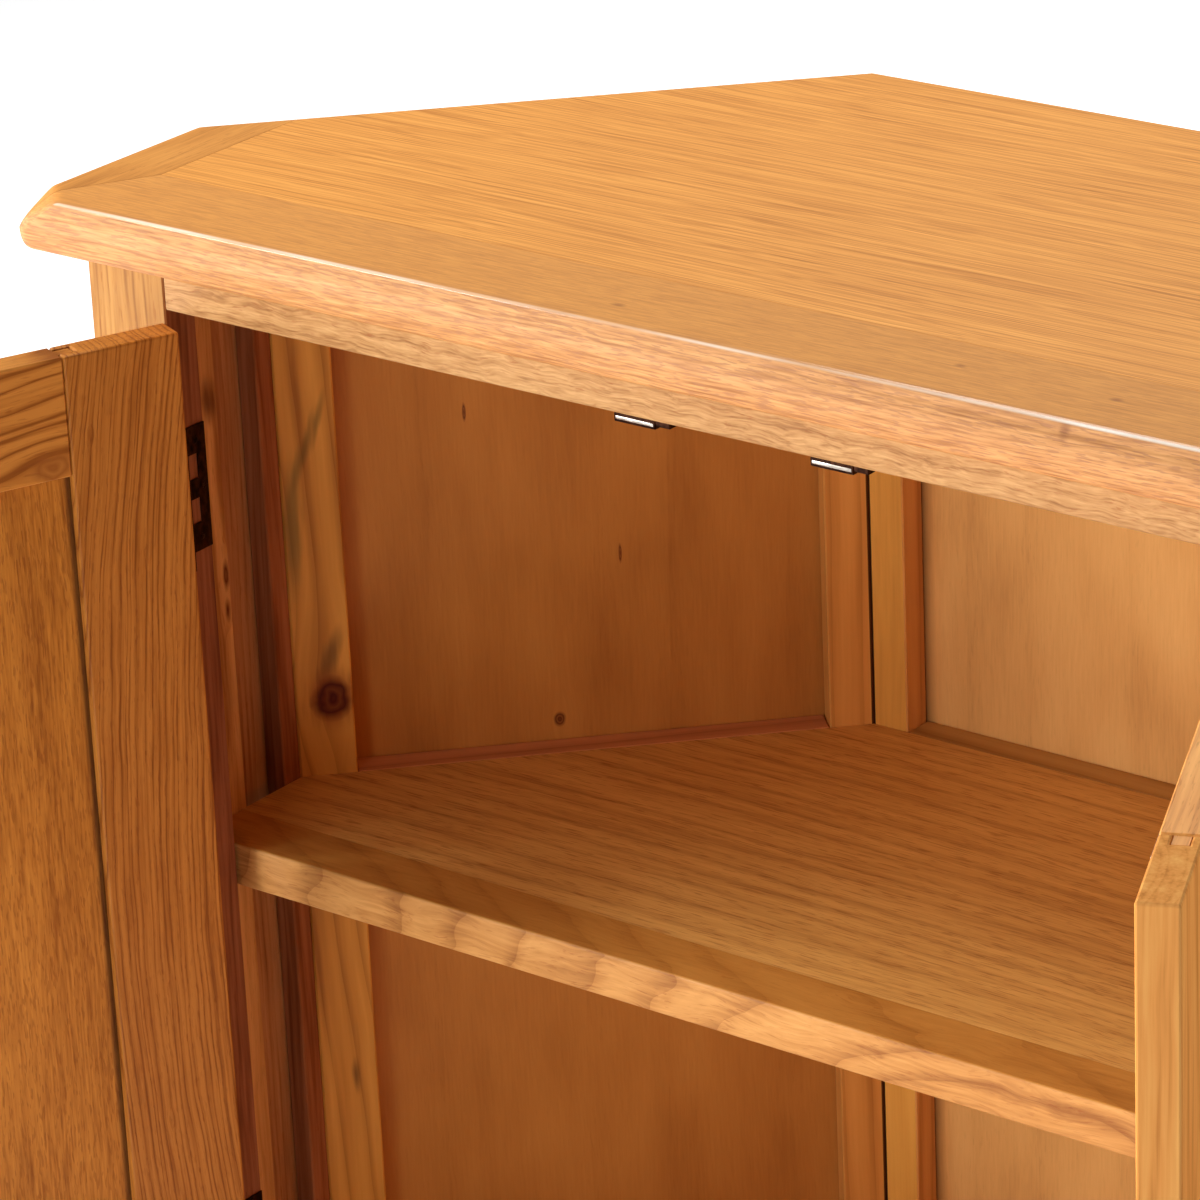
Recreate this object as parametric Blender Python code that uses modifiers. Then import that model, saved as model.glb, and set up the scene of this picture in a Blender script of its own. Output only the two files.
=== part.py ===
"""Corner cupboard with two framed doors, one shelf and a moulded top.

It stands in the corner of a room: two walls at 45 degrees to the front lie along the room's walls, and a
short back wall cuts off the corner between them. Metres, +Z up, the front faces -Y. The doors stand open.
"""

import math

import bmesh
import bpy
from mathutils import Matrix, Vector

# Top: the arris is the crisp upper edge of the moulding, and the widths are measured between arrises
HEIGHT = 0.780
TOP_WIDTH = 0.7886
TOP_SIDE_RUN = 0.1277
TOP_DIAGONAL_RUN = 0.2486
TOP_THICK = 0.026
TOP_CORNER_CUT = 0.022
TOP_FRONT_LIPPING = 0.060
TOP_SIDE_LIPPING = 0.0365
TOP_FRONT_OVERHANG = 0.01965
TOP_WALL_OVERHANG = 0.0095

# Moulding: how far it swells beyond the arris, how far down, and how much it turns in below
MOULD_SWELL = 0.0057
MOULD_SWELL_DROP = 0.016
MOULD_TURN_IN = 0.0028
MOULD_CORNER_RADIUS = 0.0106
MOULD_UPPER_STEPS = 6
MOULD_LOWER_STEPS = 4
MOULD_CORNER_STEPS = 5

# Clearances, and the turn under which two faces count as one flat face
JOINT_GAP = 0.0003
CUT_OVERRUN = 0.010
WELD_DISTANCE = 0.00001
FLAT_ANGLE = math.radians(0.5)

# Face frame and the batten behind its top rail
FACE_THICK = 0.022
FACE_STILE_WIDTH = 0.050
FACE_TOP_RAIL_SHOWN = 0.0275
FACE_BOTTOM_RAIL_HEIGHT = 0.050
BATTEN_THICK = 0.018
BATTEN_BELOW_RAIL = 0.0085

# Side returns
SIDE_THICK = 0.023
SIDE_FRONT_STILE_WIDTH = 0.040
SIDE_REAR_STILE_WIDTH = 0.013
SIDE_PANEL_THICK = 0.006
SIDE_PANEL_RECESS = 0.013
SIDE_GROOVE_DEPTH = 0.008

# Diagonal and back walls: stile widths are those of the inner face
WALL_THICK = 0.022
DIAGONAL_FRONT_STILE_WIDTH = 0.0305
DIAGONAL_REAR_STILE_WIDTH = 0.024
BACK_STILE_WIDTH = 0.0216
WALL_TOP_RAIL_HEIGHT = 0.050
WALL_RAIL_HEIGHT = 0.050
WALL_PANEL_THICK = 0.003
WALL_REBATE_WIDTH = 0.008
BEARER_STEP = 0.010
BEARER_STEP_HEIGHT = 0.012

# Levels of the shelf and the bottom board
FOOT_HEIGHT = 0.042
BOTTOM_BOARD_THICK = 0.018
SHELF_HEIGHT = 0.426
SHELF_THICK = 0.018
SHELF_SETBACK = 0.0017
SHELF_LIPPING_HEIGHT = 0.024
SHELF_LIPPING_DEPTH = 0.034
SHELF_CORNER_RADIUS = 0.028
SHELF_CORNER_STEPS = 8

# Doors
DOOR_THICK = 0.018
DOOR_STILE_WIDTH = 0.062
DOOR_RAIL_HEIGHT = 0.062
DOOR_PANEL_THICK = 0.007
DOOR_PANEL_RECESS = 0.006
DOOR_GROOVE_DEPTH = 0.009
DOOR_HEAD_GAP = 0.004
DOOR_MEETING_GAP = 0.003
DOOR_REST_ANGLE = math.radians(113.5)

# Hinges: five knuckles on deep straps, the pin fixed in the frame leaf
HINGE_GAP = 0.0024
HINGE_INSET = 0.0610
HINGE_LENGTH = 0.067
HINGE_LEAF_THICK = 0.0008
HINGE_LEAF_SEAT = 0.00015
HINGE_FRAME_REACH = 0.0243
HINGE_DOOR_REACH = 0.0190
HINGE_BAR_WIDTH = 0.0066
HINGE_KNUCKLE_RADIUS = 0.0026
HINGE_KNUCKLE_GAP = 0.0003
HINGE_KNUCKLE_SHARES = (0.225, 0.195, 0.160, 0.195, 0.225)
HINGE_PIN_RADIUS = 0.0013
HINGE_BORE_RADIUS = 0.0015
HINGE_PIN_PROUD = 0.0030
HINGE_SIDES = 20

# Catches and strikes
CATCH_LEFT_START = -0.0611
CATCH_RIGHT_START = 0.0519
CATCH_LENGTH = 0.0241
CATCH_DEPTH = 0.010
CATCH_HEIGHT = 0.0050
CATCH_TAB_LENGTH = 0.0082
CATCH_TAB_THICK = 0.0034
STRIKE_THICK = 0.0012
STRIKE_CLEARANCE = 0.0003

# Knobs, turned: radius and distance from the door, as shares of the greatest radius and the length
KNOB_RADIUS = 0.016
KNOB_LENGTH = 0.026
KNOB_PROFILE_SHARES = (
    (0.00, 1.00),
    (0.35, 0.99),
    (0.64, 0.95),
    (0.86, 0.87),
    (0.97, 0.76),
    (1.00, 0.65),
    (0.94, 0.53),
    (0.76, 0.43),
    (0.56, 0.34),
    (0.48, 0.24),
    (0.52, 0.14),
    (0.66, 0.06),
    (0.68, 0.00),
    (0.00, 0.00),
)
KNOB_TURNS = 24

# Eased arrises
BOARD_EASE = 0.0008
DOOR_EASE = 0.0012

# Sizes that follow from those above, in plan: X from the middle, Y from the front arris
TOP_HALF = TOP_WIDTH / 2
TOP_DEPTH = TOP_SIDE_RUN + TOP_DIAGONAL_RUN
UNDERSIDE = HEIGHT - TOP_THICK
FACE_FRONT = TOP_FRONT_OVERHANG
FACE_BACK = FACE_FRONT + FACE_THICK
SIDE_OUTER = TOP_HALF - TOP_FRONT_OVERHANG
SIDE_INNER = SIDE_OUTER - SIDE_THICK
OPENING_HALF = SIDE_OUTER - FACE_STILE_WIDTH
WALL_INSET = TOP_WALL_OVERHANG + WALL_THICK
WALL_PANEL_FACE = WALL_THICK - WALL_PANEL_THICK - JOINT_GAP
BOTTOM_LEVEL = FOOT_HEIGHT + FACE_BOTTOM_RAIL_HEIGHT
TOP_RAIL_LEVEL = UNDERSIDE - FACE_TOP_RAIL_SHOWN
DOOR_LOW = BOTTOM_LEVEL + DOOR_HEAD_GAP
DOOR_HIGH = TOP_RAIL_LEVEL - DOOR_HEAD_GAP
DOOR_WIDTH = OPENING_HALF - HINGE_GAP - DOOR_MEETING_GAP / 2
PIN_X = OPENING_HALF - HINGE_GAP / 2
PIN_Y = FACE_FRONT - HINGE_PIN_PROUD
CATCH_TOP = TOP_RAIL_LEVEL - BATTEN_BELOW_RAIL - JOINT_GAP
CATCH_FRONT = FACE_FRONT + DOOR_THICK + JOINT_GAP + STRIKE_THICK + STRIKE_CLEARANCE

# Where the inner faces of neighbouring walls meet
DIAGONAL_CORNER_Y = TOP_SIDE_RUN + TOP_HALF - SIDE_INNER - WALL_INSET * math.sqrt(2)
BACK_INNER = TOP_DEPTH - WALL_INSET
BACK_CORNER_X = SIDE_INNER - (BACK_INNER - DIAGONAL_CORNER_Y)
MITRE_SLOPE = math.tan(math.radians(22.5))

# Lays a section that is drawn in Y and Z along X
ALONG_X = Matrix(((0, 0, 1), (1, 0, 0), (0, 1, 0))).to_4x4()

PARTS = "corner_cupboard"
HELPERS = "cutters"


def start_scene():
    """Empties the scene and makes one collection for the parts and one for the helper solids."""
    for old in list(bpy.data.objects):
        bpy.data.objects.remove(old)
    for name in (PARTS, HELPERS):
        collection = bpy.data.collections.new(name)
        bpy.context.scene.collection.children.link(collection)


def finish(name, colour, roughness, metallic=0.0):
    """A Principled material; the colour is linear RGB."""
    material = bpy.data.materials.new(name)
    material.use_nodes = True
    shader = material.node_tree.nodes["Principled BSDF"]
    shader.inputs["Base Color"].default_value = (*colour, 1)
    shader.inputs["Roughness"].default_value = roughness
    shader.inputs["Metallic"].default_value = metallic
    material.diffuse_color = (*colour, 1)
    return material


def pivot(name, parent=None, location=(0, 0, 0), turn=0):
    """An empty that carries pieces: the whole cupboard, a wall, or a door on its pin line."""
    empty = bpy.data.objects.new(name, None)
    bpy.data.collections[PARTS].objects.link(empty)
    empty.parent = parent
    empty.location = location
    empty.rotation_euler.z = turn
    return empty


def add(name, mesh, material, parent, location=(0, 0, 0), collection=PARTS):
    """Puts a mesh in the scene as one named object."""
    piece = bpy.data.objects.new(name, mesh)
    bpy.data.collections[collection].objects.link(piece)
    piece.parent = parent
    piece.location = location
    if material:
        mesh.materials.append(material)
    return piece


def mesh_from(shape, name):
    """Turns a bmesh into a mesh with its faces pointing out."""
    bmesh.ops.recalc_face_normals(shape, faces=shape.faces)
    mesh = bpy.data.meshes.new(name)
    shape.to_mesh(mesh)
    shape.free()
    return mesh


def extrusion(name, outline, depth):
    """A flat outline in X and Y, filled and extruded by depth, half of it each way along Z."""
    curve = bpy.data.curves.new(name, "CURVE")
    curve.dimensions = "2D"
    curve.fill_mode = "BOTH"
    curve.extrude = depth / 2
    spline = curve.splines.new("POLY")
    spline.points.add(len(outline) - 1)
    for point, (x, y) in zip(spline.points, outline):
        point.co = (x, y, 0, 1)
    spline.use_cyclic_u = True
    guide = bpy.data.objects.new(name, curve)
    bpy.context.scene.collection.objects.link(guide)
    graph = bpy.context.evaluated_depsgraph_get()
    filled = bpy.data.meshes.new_from_object(guide.evaluated_get(graph))
    shape = bmesh.new()
    shape.from_mesh(filled)
    bmesh.ops.remove_doubles(shape, verts=shape.verts, dist=WELD_DISTANCE)
    bmesh.ops.dissolve_limit(
        shape, angle_limit=FLAT_ANGLE, verts=shape.verts, edges=shape.edges
    )
    bpy.data.objects.remove(guide)
    bpy.data.curves.remove(curve)
    bpy.data.meshes.remove(filled)
    return mesh_from(shape, name)


def upright(name, outline, low, high, material, parent):
    """A piece drawn in plan and standing from low to high."""
    mesh = extrusion(name, outline, high - low)
    return add(name, mesh, material, parent, (0, 0, (low + high) / 2))


def beam(name, section, start, end, material, parent):
    """A piece with its section in Y and Z, running along X from start to end."""
    mesh = extrusion(name, section, end - start)
    mesh.transform(ALONG_X)
    return add(name, mesh, material, parent, ((start + end) / 2, 0, 0))


def box(name, low, high, material, parent, collection=PARTS):
    """A squared block between two opposite corners."""
    low = Vector(low)
    high = Vector(high)
    shape = bmesh.new()
    bmesh.ops.create_cube(shape, size=1)
    bmesh.ops.scale(shape, vec=high - low, verts=shape.verts)
    middle = (low + high) / 2
    return add(name, mesh_from(shape, name), material, parent, middle, collection)


def helper_box(name, low, high, parent):
    """A squared block that only cuts or joins."""
    return as_helper(box(name, low, high, None, parent, HELPERS))


def cylinder(name, radius, low, high, parent):
    """A helper rod along Z at X = Y = 0 of its parent."""
    shape = bmesh.new()
    bmesh.ops.create_cone(
        shape,
        cap_ends=True,
        segments=HINGE_SIDES,
        radius1=radius,
        radius2=radius,
        depth=high - low,
    )
    rod = add(name, mesh_from(shape, name), None, parent, (0, 0, (low + high) / 2), HELPERS)
    return as_helper(rod)


def as_helper(obj):
    """Marks an object that only shapes others, so that it is no piece of the cupboard."""
    obj.hide_render = True
    obj.display_type = "WIRE"
    return obj


def combine(obj, other, operation):
    """Joins, cuts or trims a piece with a helper solid."""
    modifier = obj.modifiers.new(operation.lower(), "BOOLEAN")
    modifier.operation = operation
    modifier.object = other
    modifier.solver = "EXACT"


def ease(obj, width, segments=1):
    """Takes the sharpness off a board's arrises, and leaves the inner corners of its grooves square."""
    shape = bmesh.new()
    shape.from_mesh(obj.data)
    weight = shape.edges.layers.float.new("bevel_weight_edge")
    for edge in shape.edges:
        edge[weight] = float(edge.calc_face_angle_signed() > FLAT_ANGLE)
    shape.to_mesh(obj.data)
    shape.free()
    modifier = obj.modifiers.new("eased_arrises", "BEVEL")
    modifier.width = width
    modifier.segments = segments
    modifier.limit_method = "WEIGHT"
    return obj


def smooth(obj, angle=math.radians(40)):
    """Shades the round faces of a piece smooth and keeps its edges."""
    obj.data.shade_smooth()
    obj.data.set_sharp_from_angle(angle=angle)


def mirrored(outline, side):
    """The outline on the right (side 1) or turned over to the left (side -1)."""
    return [(x * side, y) for x, y in outline]


def mix(first, last, share):
    return first + (last - first) * share


def moulding_levels():
    """Rows of the moulded edge from the arris down: swell, drop, corner cut and how full the corner is."""
    rows = []
    for step in range(MOULD_UPPER_STEPS + 1):
        share = step / MOULD_UPPER_STEPS
        swell = MOULD_SWELL * (1 - (1 - share) ** 2)
        cut = mix(TOP_CORNER_CUT, MOULD_CORNER_RADIUS, share)
        rows.append((swell, MOULD_SWELL_DROP * share, cut, share))
    for step in range(1, MOULD_LOWER_STEPS + 1):
        turn = math.pi / 2 * step / MOULD_LOWER_STEPS
        swell = MOULD_SWELL - MOULD_TURN_IN * (1 - math.cos(turn))
        drop = mix(MOULD_SWELL_DROP, TOP_THICK, math.sin(turn))
        rows.append((swell, drop, MOULD_CORNER_RADIUS, 1))
    return rows


def top_ring(swell, cut, fullness):
    """The top's outline at one level of the moulding, from the left diagonal round the front."""
    corner = Vector((TOP_HALF + swell, -swell))
    start = corner + Vector((0, cut))
    end = corner - Vector((cut, 0))
    control = (start + end).lerp(corner * 2, fullness) / 2
    bend = []
    for step in range(MOULD_CORNER_STEPS + 1):
        t = step / MOULD_CORNER_STEPS
        point = start * (1 - t) ** 2 + control * 2 * t * (1 - t) + end * t**2
        bend.append((point.x, point.y))
    right = [
        (TOP_HALF - TOP_DIAGONAL_RUN, TOP_DEPTH),
        (TOP_HALF + swell, TOP_SIDE_RUN - swell),
        *bend,
    ]
    return right + mirrored(reversed(right), -1)


def top_blank(parent):
    """The whole top in one: a loft through the levels of the moulding, which its boards are cut from."""
    shape = bmesh.new()
    rings = []
    for swell, drop, cut, fullness in moulding_levels():
        ring = top_ring(swell, cut, fullness)
        rings.append([shape.verts.new((x, y, HEIGHT - drop)) for x, y in ring])
    for upper, lower in zip(rings, rings[1:]):
        for first in range(len(upper)):
            second = (first + 1) % len(upper)
            shape.faces.new((upper[first], upper[second], lower[second], lower[first]))
    shape.faces.new(rings[0])
    shape.faces.new(rings[-1])
    blank = add("top_blank", mesh_from(shape, "top_blank"), None, parent, collection=HELPERS)
    return as_helper(blank)


def build_top(parent, oak):
    """The veneered field and its front and side lippings, mitred at the front corners."""
    blank = top_blank(parent)
    gap = JOINT_GAP / 2
    far = TOP_HALF + CUT_OVERRUN
    seam = TOP_HALF - TOP_SIDE_LIPPING
    near = -CUT_OVERRUN * TOP_FRONT_LIPPING / TOP_SIDE_LIPPING
    beyond = TOP_DEPTH + CUT_OVERRUN
    field = [
        (-seam + gap, TOP_FRONT_LIPPING + gap),
        (seam - gap, TOP_FRONT_LIPPING + gap),
        (seam - gap, beyond),
        (-seam + gap, beyond),
    ]
    front = [
        (-seam + gap, TOP_FRONT_LIPPING - gap),
        (-far + gap, near - gap),
        (far - gap, near - gap),
        (seam - gap, TOP_FRONT_LIPPING - gap),
    ]
    side = [
        (seam + gap, TOP_FRONT_LIPPING + gap),
        (far + gap, near + gap),
        (far + gap, beyond),
        (seam + gap, beyond),
    ]
    boards = {
        "top_field": field,
        "top_front_lipping": front,
        "top_left_lipping": mirrored(side, -1),
        "top_right_lipping": side,
    }
    low = UNDERSIDE - CUT_OVERRUN
    high = HEIGHT + CUT_OVERRUN
    for name, outline in boards.items():
        board = upright(name, outline, low, high, oak, parent)
        combine(board, blank, "INTERSECT")
        smooth(board)


def build_face_frame(parent, oak):
    """Two stiles that run to the floor as feet, a top rail, a bottom rail and the batten."""
    high = UNDERSIDE - JOINT_GAP
    for word, side in (("left", -1), ("right", 1)):
        ends = sorted((side * OPENING_HALF, side * SIDE_OUTER))
        low_corner = (ends[0], FACE_FRONT, 0)
        high_corner = (ends[1], FACE_BACK, high)
        ease(box(f"{word}_face_stile", low_corner, high_corner, oak, parent), BOARD_EASE)
    reach = OPENING_HALF - JOINT_GAP
    low_corner = (-reach, FACE_FRONT, TOP_RAIL_LEVEL)
    high_corner = (reach, FACE_BACK, high)
    ease(box("top_rail", low_corner, high_corner, oak, parent), BOARD_EASE)
    section = [
        (FACE_FRONT, FOOT_HEIGHT),
        (FACE_BACK + BEARER_STEP, FOOT_HEIGHT),
        (FACE_BACK + BEARER_STEP, BOTTOM_LEVEL - BOTTOM_BOARD_THICK - JOINT_GAP),
        (FACE_BACK, BOTTOM_LEVEL - BOTTOM_BOARD_THICK - JOINT_GAP),
        (FACE_BACK, BOTTOM_LEVEL),
        (FACE_FRONT, BOTTOM_LEVEL),
    ]
    ease(beam("bottom_rail", section, -reach, reach, oak, parent), BOARD_EASE)
    reach = SIDE_INNER - JOINT_GAP
    low_corner = (-reach, FACE_BACK + JOINT_GAP, TOP_RAIL_LEVEL - BATTEN_BELOW_RAIL)
    high_corner = (reach, FACE_BACK + JOINT_GAP + BATTEN_THICK, high)
    ease(box("catch_batten", low_corner, high_corner, oak, parent), BOARD_EASE)


def build_side_return(parent, word, side, oak):
    """A short straight side: a front stile and a mitred rear stile, grooved for a panel between them."""
    high = UNDERSIDE - JOINT_GAP
    panel_inner = SIDE_INNER + SIDE_PANEL_RECESS
    groove = (panel_inner - JOINT_GAP, panel_inner + SIDE_PANEL_THICK + JOINT_GAP)
    front = FACE_BACK + JOINT_GAP
    front_edge = front + SIDE_FRONT_STILE_WIDTH
    rear_edge = DIAGONAL_CORNER_Y - SIDE_REAR_STILE_WIDTH
    mitre = JOINT_GAP / 2
    front_stile = [
        (SIDE_INNER, front),
        (SIDE_OUTER, front),
        (SIDE_OUTER, front_edge),
        (groove[1], front_edge),
        (groove[1], front_edge - SIDE_GROOVE_DEPTH),
        (groove[0], front_edge - SIDE_GROOVE_DEPTH),
        (groove[0], front_edge),
        (SIDE_INNER, front_edge),
    ]
    rear_stile = [
        (SIDE_INNER, rear_edge),
        (groove[0], rear_edge),
        (groove[0], rear_edge + SIDE_GROOVE_DEPTH),
        (groove[1], rear_edge + SIDE_GROOVE_DEPTH),
        (groove[1], rear_edge),
        (SIDE_OUTER, rear_edge),
        (SIDE_OUTER, DIAGONAL_CORNER_Y + SIDE_THICK * MITRE_SLOPE - mitre),
        (SIDE_INNER, DIAGONAL_CORNER_Y - mitre),
    ]
    for name, outline in (("front_stile", front_stile), ("rear_stile", rear_stile)):
        name = f"{word}_side_{name}"
        ease(upright(name, mirrored(outline, side), 0, high, oak, parent), BOARD_EASE)
    sides = sorted((side * panel_inner, side * (panel_inner + SIDE_PANEL_THICK)))
    low_corner = (sides[0], front_edge - SIDE_GROOVE_DEPTH + JOINT_GAP, FOOT_HEIGHT)
    high_corner = (sides[1], rear_edge + SIDE_GROOVE_DEPTH - JOINT_GAP, high)
    box(f"{word}_side_panel", low_corner, high_corner, oak, parent)


def wall_stile(width, reach):
    """Plan of a wall stile from its mitred corner at X = 0; Y runs outwards from the inner face."""
    mitre = JOINT_GAP / 2
    rebate = width - WALL_REBATE_WIDTH
    return [
        (mitre, 0),
        (width, 0),
        (width, WALL_PANEL_FACE - JOINT_GAP),
        (rebate, WALL_PANEL_FACE - JOINT_GAP),
        (rebate, WALL_THICK),
        (mitre - reach, WALL_THICK),
    ]


def build_wall(parent, word, start, end, widths, pine, ply):
    """A mitred, rebated frame with a stepped bearer under the shelf and one under the bottom board."""
    along = Vector(end) - Vector(start)
    length = along.length
    wall = pivot(f"{word}_wall", parent, (*start, 0), math.atan2(along.y, along.x))
    high = UNDERSIDE - JOINT_GAP
    first = wall_stile(widths[0], WALL_THICK * MITRE_SLOPE)
    last = [(length - x, y) for x, y in wall_stile(widths[1], WALL_THICK * MITRE_SLOPE)]
    for name, outline in (("first_stile", first), ("last_stile", last)):
        ease(upright(f"{word}_wall_{name}", outline, 0, high, pine, wall), BOARD_EASE)
    near = widths[0] + JOINT_GAP
    far = length - widths[1] - JOINT_GAP
    rebate = WALL_PANEL_FACE - JOINT_GAP
    head = high - WALL_TOP_RAIL_HEIGHT
    head_section = [
        (0, head),
        (rebate, head),
        (rebate, head + WALL_REBATE_WIDTH),
        (WALL_THICK, head + WALL_REBATE_WIDTH),
        (WALL_THICK, high),
        (0, high),
    ]
    ease(beam(f"{word}_wall_top_rail", head_section, near, far, pine, wall), BOARD_EASE)
    shelf_seat = SHELF_HEIGHT - SHELF_THICK - JOINT_GAP
    middle_section = [
        (-BEARER_STEP, shelf_seat),
        (-BEARER_STEP, shelf_seat - BEARER_STEP_HEIGHT),
        (0, shelf_seat - BEARER_STEP_HEIGHT),
        (0, SHELF_HEIGHT - WALL_RAIL_HEIGHT),
        (rebate, SHELF_HEIGHT - WALL_RAIL_HEIGHT),
        (rebate, SHELF_HEIGHT),
        (0, SHELF_HEIGHT),
        (0, shelf_seat),
    ]
    ease(beam(f"{word}_wall_shelf_rail", middle_section, near, far, pine, wall), BOARD_EASE)
    board_seat = BOTTOM_LEVEL - BOTTOM_BOARD_THICK - JOINT_GAP
    bottom_section = [
        (-BEARER_STEP, board_seat),
        (-BEARER_STEP, FOOT_HEIGHT),
        (WALL_THICK, FOOT_HEIGHT),
        (WALL_THICK, BOTTOM_LEVEL - WALL_REBATE_WIDTH),
        (rebate, BOTTOM_LEVEL - WALL_REBATE_WIDTH),
        (rebate, BOTTOM_LEVEL),
        (0, BOTTOM_LEVEL),
        (0, board_seat),
    ]
    ease(beam(f"{word}_wall_bottom_rail", bottom_section, near, far, pine, wall), BOARD_EASE)
    slack = WALL_REBATE_WIDTH - JOINT_GAP
    low_corner = (widths[0] - slack, WALL_PANEL_FACE, BOTTOM_LEVEL - slack)
    high_corner = (
        length - widths[1] + slack,
        WALL_PANEL_FACE + WALL_PANEL_THICK,
        head + slack,
    )
    box(f"{word}_wall_panel", low_corner, high_corner, ply, wall)


def inner_plan(front):
    """The inside of the carcass in plan, less the joint gap, from a straight front edge backwards."""
    side = SIDE_INNER - JOINT_GAP
    corner = DIAGONAL_CORNER_Y - JOINT_GAP * MITRE_SLOPE
    back = BACK_INNER - JOINT_GAP
    back_x = BACK_CORNER_X - JOINT_GAP * MITRE_SLOPE
    right = [(side, front), (side, corner), (back_x, back)]
    return right + mirrored(reversed(right), -1)


def build_boards(parent, oak):
    """The bottom board, and the shelf with its deep front lipping and rounded corners."""
    outline = inner_plan(FACE_BACK + JOINT_GAP)
    low = BOTTOM_LEVEL - BOTTOM_BOARD_THICK
    ease(upright("bottom_board", outline, low, BOTTOM_LEVEL, oak, parent), BOARD_EASE)
    front = FACE_BACK + SHELF_SETBACK
    seam = front + SHELF_LIPPING_DEPTH
    outline = inner_plan(seam + JOINT_GAP)
    low = SHELF_HEIGHT - SHELF_THICK
    upright("shelf_board", outline, low, SHELF_HEIGHT, oak, parent)
    side = SIDE_INNER - JOINT_GAP
    bend = []
    for step in range(SHELF_CORNER_STEPS + 1):
        turn = math.pi / 2 * step / SHELF_CORNER_STEPS
        x = side - SHELF_CORNER_RADIUS * (1 - math.cos(turn))
        y = front + SHELF_CORNER_RADIUS * (1 - math.sin(turn))
        bend.append((x, y))
    right = [(side, seam), *bend]
    outline = right + mirrored(reversed(right), -1)
    low = SHELF_HEIGHT - SHELF_LIPPING_HEIGHT
    lipping = upright("shelf_lipping", outline, low, SHELF_HEIGHT, oak, parent)
    smooth(lipping)


def build_door(parent, word, side, oak):
    """A framed door in its closed place beside the pin line; the door's empty turns it open."""
    face = HINGE_PIN_PROUD
    inside = face + DOOR_THICK
    panel = (inside - DOOR_PANEL_RECESS - DOOR_PANEL_THICK, inside - DOOR_PANEL_RECESS)
    groove = (panel[0] - JOINT_GAP, panel[1] + JOINT_GAP)
    near = HINGE_GAP / 2
    far = near + DOOR_WIDTH
    hinge_edge = near + DOOR_STILE_WIDTH
    free_edge = far - DOOR_STILE_WIDTH
    depth = DOOR_GROOVE_DEPTH
    hinge_stile = [
        (near, face),
        (hinge_edge, face),
        (hinge_edge, groove[0]),
        (hinge_edge - depth, groove[0]),
        (hinge_edge - depth, groove[1]),
        (hinge_edge, groove[1]),
        (hinge_edge, inside),
        (near, inside),
    ]
    free_stile = [(near + far - x, y) for x, y in hinge_stile]
    for name, outline in (("hinge_stile", hinge_stile), ("free_stile", free_stile)):
        outline = mirrored(outline, -side)
        stile = upright(f"{word}_door_{name}", outline, DOOR_LOW, DOOR_HIGH, oak, parent)
        ease(stile, DOOR_EASE, 2)
    start = hinge_edge + JOINT_GAP
    end = free_edge - JOINT_GAP
    tongue = depth - JOINT_GAP * 2
    rails = {
        "top_rail": (DOOR_HIGH - DOOR_RAIL_HEIGHT, DOOR_HIGH, DOOR_HIGH - DOOR_RAIL_HEIGHT),
        "bottom_rail": (DOOR_LOW, DOOR_LOW + DOOR_RAIL_HEIGHT, DOOR_LOW + DOOR_RAIL_HEIGHT),
    }
    for name, (low, high, edge) in rails.items():
        ends = sorted((-side * start, -side * end))
        low_corner = (ends[0], face, low)
        high_corner = (ends[1], inside, high)
        piece = ease(box(f"{word}_door_{name}", low_corner, high_corner, oak, parent), BOARD_EASE)
        low_corner = (ends[0] - tongue, panel[0], low + BOARD_EASE)
        high_corner = (ends[1] + tongue, panel[1], high - BOARD_EASE)
        tongues = helper_box(f"{word}_{name}_tongues", low_corner, high_corner, parent)
        combine(piece, tongues, "UNION")
        low_corner = (ends[0] - depth, groove[0], edge - depth)
        high_corner = (ends[1] + depth, groove[1], edge + depth)
        slot = helper_box(f"{word}_{name}_groove", low_corner, high_corner, parent)
        combine(piece, slot, "DIFFERENCE")
    slack = depth - JOINT_GAP
    ends = sorted((-side * (hinge_edge - slack), -side * (free_edge + slack)))
    low_corner = (ends[0], panel[0], DOOR_LOW + DOOR_RAIL_HEIGHT - slack)
    high_corner = (ends[1], panel[1], DOOR_HIGH - DOOR_RAIL_HEIGHT + slack)
    box(f"{word}_door_panel", low_corner, high_corner, oak, parent)
    knob_x = -side * (far - DOOR_STILE_WIDTH / 2)
    knob_place = (knob_x, face - JOINT_GAP, (DOOR_LOW + DOOR_HIGH) / 2)
    build_knob(parent, f"{word}_knob", knob_place, oak)


def build_knob(parent, name, place, oak):
    """A turned knob: half of its outline, swept once round by a Screw modifier."""
    mesh = bpy.data.meshes.new(name)
    points = [(x * KNOB_RADIUS, 0, z * KNOB_LENGTH) for x, z in KNOB_PROFILE_SHARES]
    edges = [(index, index + 1) for index in range(len(points) - 1)]
    mesh.from_pydata(points, edges, [])
    knob = add(name, mesh, oak, parent, place)
    knob.rotation_euler.x = math.pi / 2
    turning = knob.modifiers.new("turning", "SCREW")
    turning.steps = KNOB_TURNS
    turning.render_steps = KNOB_TURNS
    turning.use_merge_vertices = True
    turning.merge_threshold = WELD_DISTANCE
    turning.use_smooth_shade = True


def leaf_outline(own, bands, reach):
    """A leaf in Y and Z: a bar at the back and a strap forward to the pin line at each of its knuckles."""
    bar = reach - HINGE_BAR_WIDTH
    outline = [(reach, bands[-1][1]), (reach, bands[0][0])]
    for index, (low, high) in enumerate(bands):
        if index % 2 == own:
            outline += [(0, low), (0, high)]
        else:
            low = bands[index - 1][1] if index else low
            high = bands[index + 1][0] if index + 1 < len(bands) else high
            outline += [(bar, low), (bar, high)]
    return outline


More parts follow.
